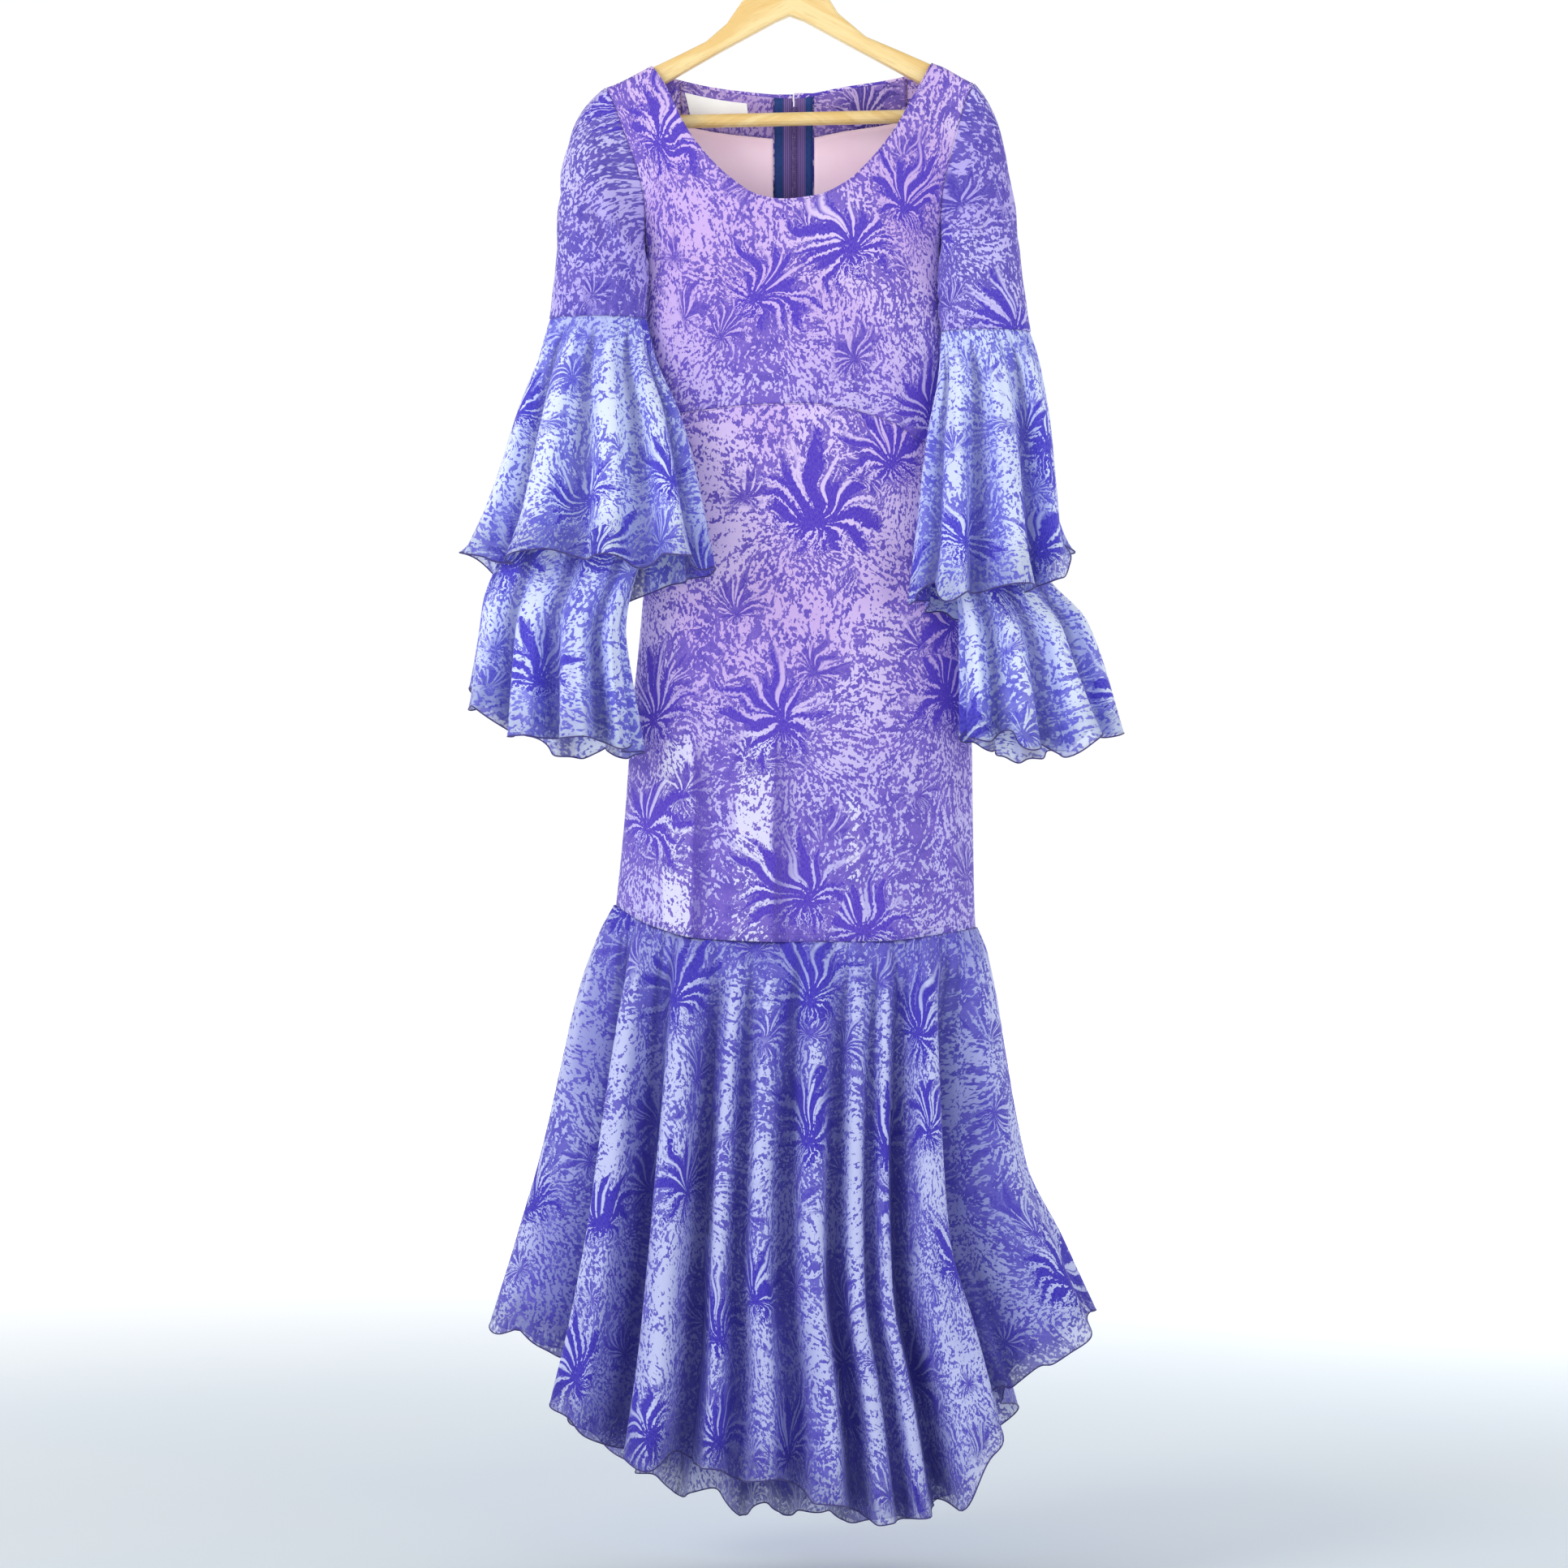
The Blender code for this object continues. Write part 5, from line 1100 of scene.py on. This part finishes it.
def plain_cloth(name, colour, other, scale, sheen=0.15, painted_glow=0.0):
    """Plain woven cloth with fine threads and slow changes of colour. Its glow is painted light: an even emission of
    its own colour that brightens it.
    """
    net = Net(name, Sheen_Weight=sheen, Emission_Color=colour, Emission_Strength=painted_glow)
    place = net.node("TexCoord", out=3)
    tone = net.noise(place, scale, 2.0)
    net.set("Base Color", net.blend(net.step(tone, 0.35, 0.65), colour, other))
    weave = net.noise(net.scaled(place, (1.0, 1.0, 0.4)), 1400.0, 1.0)
    net.set("Roughness", net.math("MULTIPLY_ADD", weave, 0.15, 0.70))
    net.bump(weave, 0.25, 0.0003)
    return net.material


def tape_look():
    """Woven zip tape, with a blue band at its outer edge and a mauve ribbed one towards the teeth."""
    net = Net("zip_tape_weave")
    place = net.node("TexCoord", out=3)
    x, y, z = net.parts(place)
    away = net.math("ABSOLUTE", net.math("SUBTRACT", x, 0.0006))
    band = net.step(away, 0.0108, 0.0114)
    ribs = net.math("SINE", net.math("MULTIPLY", x, 2 * math.pi / 0.0019))
    mauve = net.blend(net.step(ribs, -0.2, 0.6), srgb(84, 62, 132), srgb(132, 108, 176))
    blue = net.blend(net.noise(place, 300.0), srgb(12, 42, 104), srgb(26, 72, 150))
    net.set("Base Color", net.blend(band, mauve, blue))
    herring = net.math("SINE", net.math("MULTIPLY", net.math("ADD", z, net.math("MULTIPLY", away, 2.0)), 5200.0))
    net.set("Roughness", net.math("MULTIPLY_ADD", herring, 0.08, 0.72))
    net.bump(net.math("ADD", herring, ribs), 0.3, 0.0002)
    return net.material


def wood_look():
    """Pale satin pine, with long grain along the arms and faint darker pores."""
    net = Net("pale_pine", Coat_Weight=0.25, Coat_Roughness=0.25)
    place = net.node("TexCoord", out=3)
    x, y, z = net.parts(place)
    lean = net.math("SUBTRACT", z, net.math("MULTIPLY", net.math("ABSOLUTE", x), -0.50))
    along = net.join(x, y, lean)
    grain = net.noise(net.scaled(along, (9.0, 70.0, 95.0)), 1.0, 3.0, 0.6)
    pores = net.noise(net.scaled(along, (60.0, 500.0, 900.0)), 1.0, 1.0)
    wood = net.blend(net.step(grain, 0.34, 0.66), srgb(248, 222, 160), srgb(236, 198, 124))
    net.set("Base Color", net.blend(net.step(pores, 0.60, 0.74, 0.0, 0.35), wood, srgb(206, 160, 92)))
    net.set("Roughness", net.math("MULTIPLY_ADD", grain, 0.2, 0.34))
    net.bump(net.math("ADD", grain, net.math("MULTIPLY", pores, 0.4)), 0.12, 0.0004)
    return net.material


def metal_look(name, colour, metallic, roughness, coat):
    """Metal, bare or enamelled, with fine rubbed scratches."""
    net = Net(name, Metallic=metallic, Coat_Weight=coat)
    place = net.node("TexCoord", out=3)
    rubbed = net.noise(net.scaled(place, (1.0, 1.0, 0.15)), 2600.0, 2.0)
    wear = net.noise(place, 320.0, 2.0)
    worn = [min(255, c + 26) for c in colour]
    net.set("Base Color", net.blend(net.step(wear, 0.45, 0.7), srgb(*colour), srgb(*worn)))
    net.set("Roughness", net.math("MULTIPLY_ADD", rubbed, 0.18, roughness))
    net.bump(rubbed, 0.08, 0.0001)
    return net.material


def floor_look():
    """Pale blue-grey near the dress, fading to white far from it."""
    net = Net("pale_floor", 0.9)
    x, y, _ = net.parts(net.node("TexCoord", out=3))
    away = net.math("SQRT", net.math("ADD", net.math("POWER", x, 2.0), net.math("POWER", y, 2.0)))
    far = net.step(away, 0.6, 4.5)
    cloud = net.step(net.noise(net.join(x, y), 1.2), 0.3, 0.7)
    near = net.blend(cloud, srgb(236, 247, 255), srgb(242, 250, 255))
    net.set("Base Color", net.blend(far, near, (1.0, 1.0, 1.0, 1.0)))
    net.set("Emission Color", (1.0, 1.0, 1.0, 1.0))
    net.set("Emission Strength", net.math("MULTIPLY", far, 0.75))
    return net.material


# ---------------------------------------------------------------- the dress
FLOUNCE_VALLEYS = tuple(sorted([turn_of(s, -1) for s in FLOUNCE_FRONT_VALLEYS]
                               + [turn_of(s, 1) for s in FLOUNCE_BACK_VALLEYS]))
BODY_PRINT = print_look("body_print", BODY_DYE, 0.155, 0.0, 0.0, 1.0)
SLEEVE_PRINT = print_look("sleeve_print_cloth", SLEEVE_DYE, 0.140, 0.026)
TIER_PRINT = print_look("tier_print_cloth", TIER_DYE, 0.125, 0.010, 0.50)
FLOUNCE_PRINT = print_look("flounce_print_cloth", FLOUNCE_DYE, 0.150, 0.026, 0.42)
FACING_PRINT = print_look("facing_print_cloth", FACING_DYE, 0.100, 0.02)
# The lining and the label glow with painted light, an even emission that brightens them
PINK = plain_cloth("pink_lining_cloth", srgb(255, 226, 240), srgb(250, 216, 234), 22.0, 0.3, 0.14)
LABEL = plain_cloth("label_weave", srgb(255, 255, 253), srgb(248, 248, 247), 60.0, 0.15, 0.12)
HEM_THREAD = plain_cloth("hem_thread", srgb(72, 60, 132), srgb(58, 46, 118), 200.0)
SEW_THREAD = plain_cloth("sewing_thread", srgb(120, 96, 196), srgb(92, 70, 172), 300.0)
TAPE = tape_look()
ENAMEL = metal_look("lilac_enamel_paint", (150, 132, 196), 0.2, 0.28, 0.5)

front = bodice_front(BODY_PRINT)
skirt = skirt_front(BODY_PRINT)
backs = {side: bodice_back(side, BODY_PRINT) for side in (-1, 1)}
skirt_backs = {side: skirt_back(side, BODY_PRINT) for side in (-1, 1)}
for side in (-1, 1):
    sleeve(side, SLEEVE_PRINT)
tiers = {name: sleeve_tier(name, TIER_PRINT, 1.7 + 2.9 * i) for i, name in enumerate(TIERS)}
flounces = {face: hem_flounce(face, FLOUNCE_PRINT) for face in (-1, 1)}

HEM_RADIUS = 0.0007
for face, word in ((-1, "front"), (1, "back")):
    thread(f"hem_thread_flounce_{word}", [flounces[face][-1]], HEM_RADIUS, HEM_THREAD)
    stand_for(f"hem_flounce_{word}_cloth", [f"hem_flounce_{word}"])
for name, grid in tiers.items():
    thread(f"hem_thread_tier_{name}", [grid[-1]], HEM_RADIUS, HEM_THREAD, closed=True)
    stand_for(f"sleeve_tier_{name}_cloth", [f"sleeve_tier_{name}"])


def lifted(row, face, out):
    """A row of points moved out of the cloth."""
    return [point + Vector((0, face * out, 0)) for point in row]


# Rows of stitches at the neck, the seams and the zip
stitches("neck_stitches", [lifted(front[3][14:75], -1, 0.0007)], 0.0032, 0.0022, 0.00022, SEW_THREAD)
stitches("empire_stitches", [lifted(skirt[1], -1, 0.0006)], 0.0030, 0.0021, 0.00022, SEW_THREAD)
stitches("knee_stitches", [lifted(skirt[-2], -1, 0.0006)], 0.0030, 0.0021, 0.00022, SEW_THREAD)
for side, word in ((-1, "left"), (1, "right")):
    zip_line = [row[3] + Vector((0, 0.0007, 0)) for row in backs[side] + skirt_backs[side][:48]]
    stitches(f"zip_stitches_{word}", [zip_line], 0.0032, 0.0022, 0.00022, SEW_THREAD)

stand_for("bodice_front_cloth", ["bodice_front"])
stand_for("skirt_front_cloth", ["skirt_front"])
for side, word in ((-1, "left"), (1, "right")):
    stand_for(f"bodice_back_{word}_cloth", [f"bodice_back_{word}"])
    stand_for(f"skirt_back_{word}_cloth", [f"skirt_back_{word}"])
    stand_for(f"sleeve_{word}_cloth", [f"sleeve_{word}"])

# Inside the back neck: facing, lining, tapes, coil and label
INWARD = WALL / 2 + 3 * GAP + THIN / 2
FACING_DEEP = 0.042
LINING_END, TAPE_END, COIL_END = -0.515, -0.765, -0.760
for side, word in ((-1, "left"), (1, "right")):
    neck_edge = lambda x: read(BACK_NECK, "x", "z", x)
    inner_sheet(f"neck_facing_{word}_cloth", side, 0.0205, 0.112, lambda x: neck_edge(x) - 0.0028,
                lambda x: neck_edge(x) - FACING_DEEP, INWARD, FACING_PRINT, 16, 30)
    inner_sheet(f"lining_back_{word}_cloth", side, 0.0205, 0.128, lambda x: neck_edge(x) - FACING_DEEP - 0.0006,
                lambda x: LINING_END, INWARD, PINK, 60, 30)
    inner_sheet(f"zip_tape_{word}_cloth", side, 0.0014, 0.0190, lambda x: neck_edge(x) - 0.0030,
                lambda x: TAPE_END, INWARD, TAPE, 90, 6)
    for piece, slot in (("neck_facing", "facing_print"), ("lining_back", "pink_lining"), ("zip_tape", "blue_tape")):
        stand_for(f"{piece}_{word}_cloth", [f"{piece}_{word}"])

TOOTH_PITCH, TOOTH_SIZE = 0.0017, Vector((0.0034, 0.0010, 0.0009))
tooth_rows = []
z = read(BACK_NECK, "x", "z", 0.0) - 0.012
while z > COIL_END:
    side = -1 if len(tooth_rows) % 2 else 1
    here, _ = body_cloth(place_of(0.0, z), z, 1)
    middle = Vector((side * 0.0011, here.y - INWARD - 0.0016, z))
    tooth_rows.append([middle - Vector((TOOTH_SIZE.x / 2, 0, 0)), middle + Vector((TOOTH_SIZE.x / 2, 0, 0.0004))])
    z -= TOOTH_PITCH / 2
COIL = plain_cloth("mauve_coil_plastic", srgb(128, 104, 172), srgb(104, 82, 150), 400.0)
coil = thread("zip_coil", tooth_rows, 0.00055, COIL)
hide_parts("zip_chain")

finishes = {
    "hanger_arms": wood_look(), "hanger_bar": wood_look(),
    "hanger_hook": metal_look("bright_hook", (200, 200, 204), 1.0, 0.16, 0.0),
    "zip_slider": ENAMEL, "zip_pull_tab": ENAMEL, "label": LABEL,
}
for name, look in finishes.items():
    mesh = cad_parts[name].data
    mesh.materials.clear()
    mesh.materials.append(look)

# ---------------------------------------------------------------- stage, light and camera
FLOOR_DROP, FLOOR_RADIUS = 0.045, 9.0
bpy.ops.mesh.primitive_circle_add(vertices=96, radius=FLOOR_RADIUS, fill_type="NGON",
                                  location=(0, 0, CAD_BOX[0][2] - FLOOR_DROP))
floor = bpy.context.object
floor.name = "floor"
floor.data.materials.append(floor_look())

world = bpy.data.worlds.new("studio")
bpy.context.scene.world = world
world.use_nodes = True
sky = world.node_tree
background = sky.nodes["Background"]
background.inputs["Color"].default_value = (0.985, 0.992, 1.0, 1.0)
height = sky.nodes.new("ShaderNodeSeparateXYZ")
sky.links.new(sky.nodes.new("ShaderNodeTexCoord").outputs["Generated"], height.inputs[0])
tall = sky.nodes.new("ShaderNodeMath")
tall.operation = "ABSOLUTE"
sky.links.new(height.outputs["Z"], tall.inputs[0])
soft = sky.nodes.new("ShaderNodeMapRange")
soft.interpolation_type = "SMOOTHSTEP"
SKY_STEP = (0.34, 0.75, 1.02, 0.42)      # heights between which the sky dims, and its strengths there
for socket, value in zip(soft.inputs[1:5], SKY_STEP):
    socket.default_value = value
sky.links.new(tall.outputs[0], soft.inputs["Value"])
sky.links.new(soft.outputs[0], background.inputs["Strength"])

Lamp = namedtuple("Lamp", "name place size power colour")
LAMPS = (
    Lamp("key", (-2.3, -1.9, 0.5), 1.2, 26.0, (1.0, 0.99, 0.97)),
    Lamp("fill", (2.2, -2.0, -0.6), 2.0, 4.0, (0.93, 0.96, 1.0)),
    Lamp("back", (1.4, 2.6, 0.2), 1.4, 18.0, (0.95, 0.97, 1.0)),
)
MIDDLE = Vector((0, 0, -0.85))
for lamp in LAMPS:
    data = bpy.data.lights.new(lamp.name, "AREA")
    data.size, data.energy, data.color = lamp.size, lamp.power, lamp.colour
    made = bpy.data.objects.new(lamp.name, data)
    bpy.context.scene.collection.objects.link(made)
    made.location = lamp.place
    made.rotation_euler = (MIDDLE - Vector(lamp.place)).to_track_quat("-Z", "Y").to_euler()

PHOTO_HIGH = 1.5456      # height of the photograph's frame at the hanger's plane
PHOTO_MIDDLE = Vector((-0.0096, 0.0, -0.8688))
CAMERA_AWAY = 4.0
lens = bpy.data.cameras.new("camera")
lens.lens = lens.sensor_width * CAMERA_AWAY / PHOTO_HIGH
camera = bpy.data.objects.new("camera", lens)
bpy.context.scene.collection.objects.link(camera)
camera.location = PHOTO_MIDDLE - Vector((0, CAMERA_AWAY, 0))
camera.rotation_euler = (math.pi / 2, 0, 0)
bpy.context.scene.camera = camera
bpy.context.scene.view_settings.view_transform = "Standard"
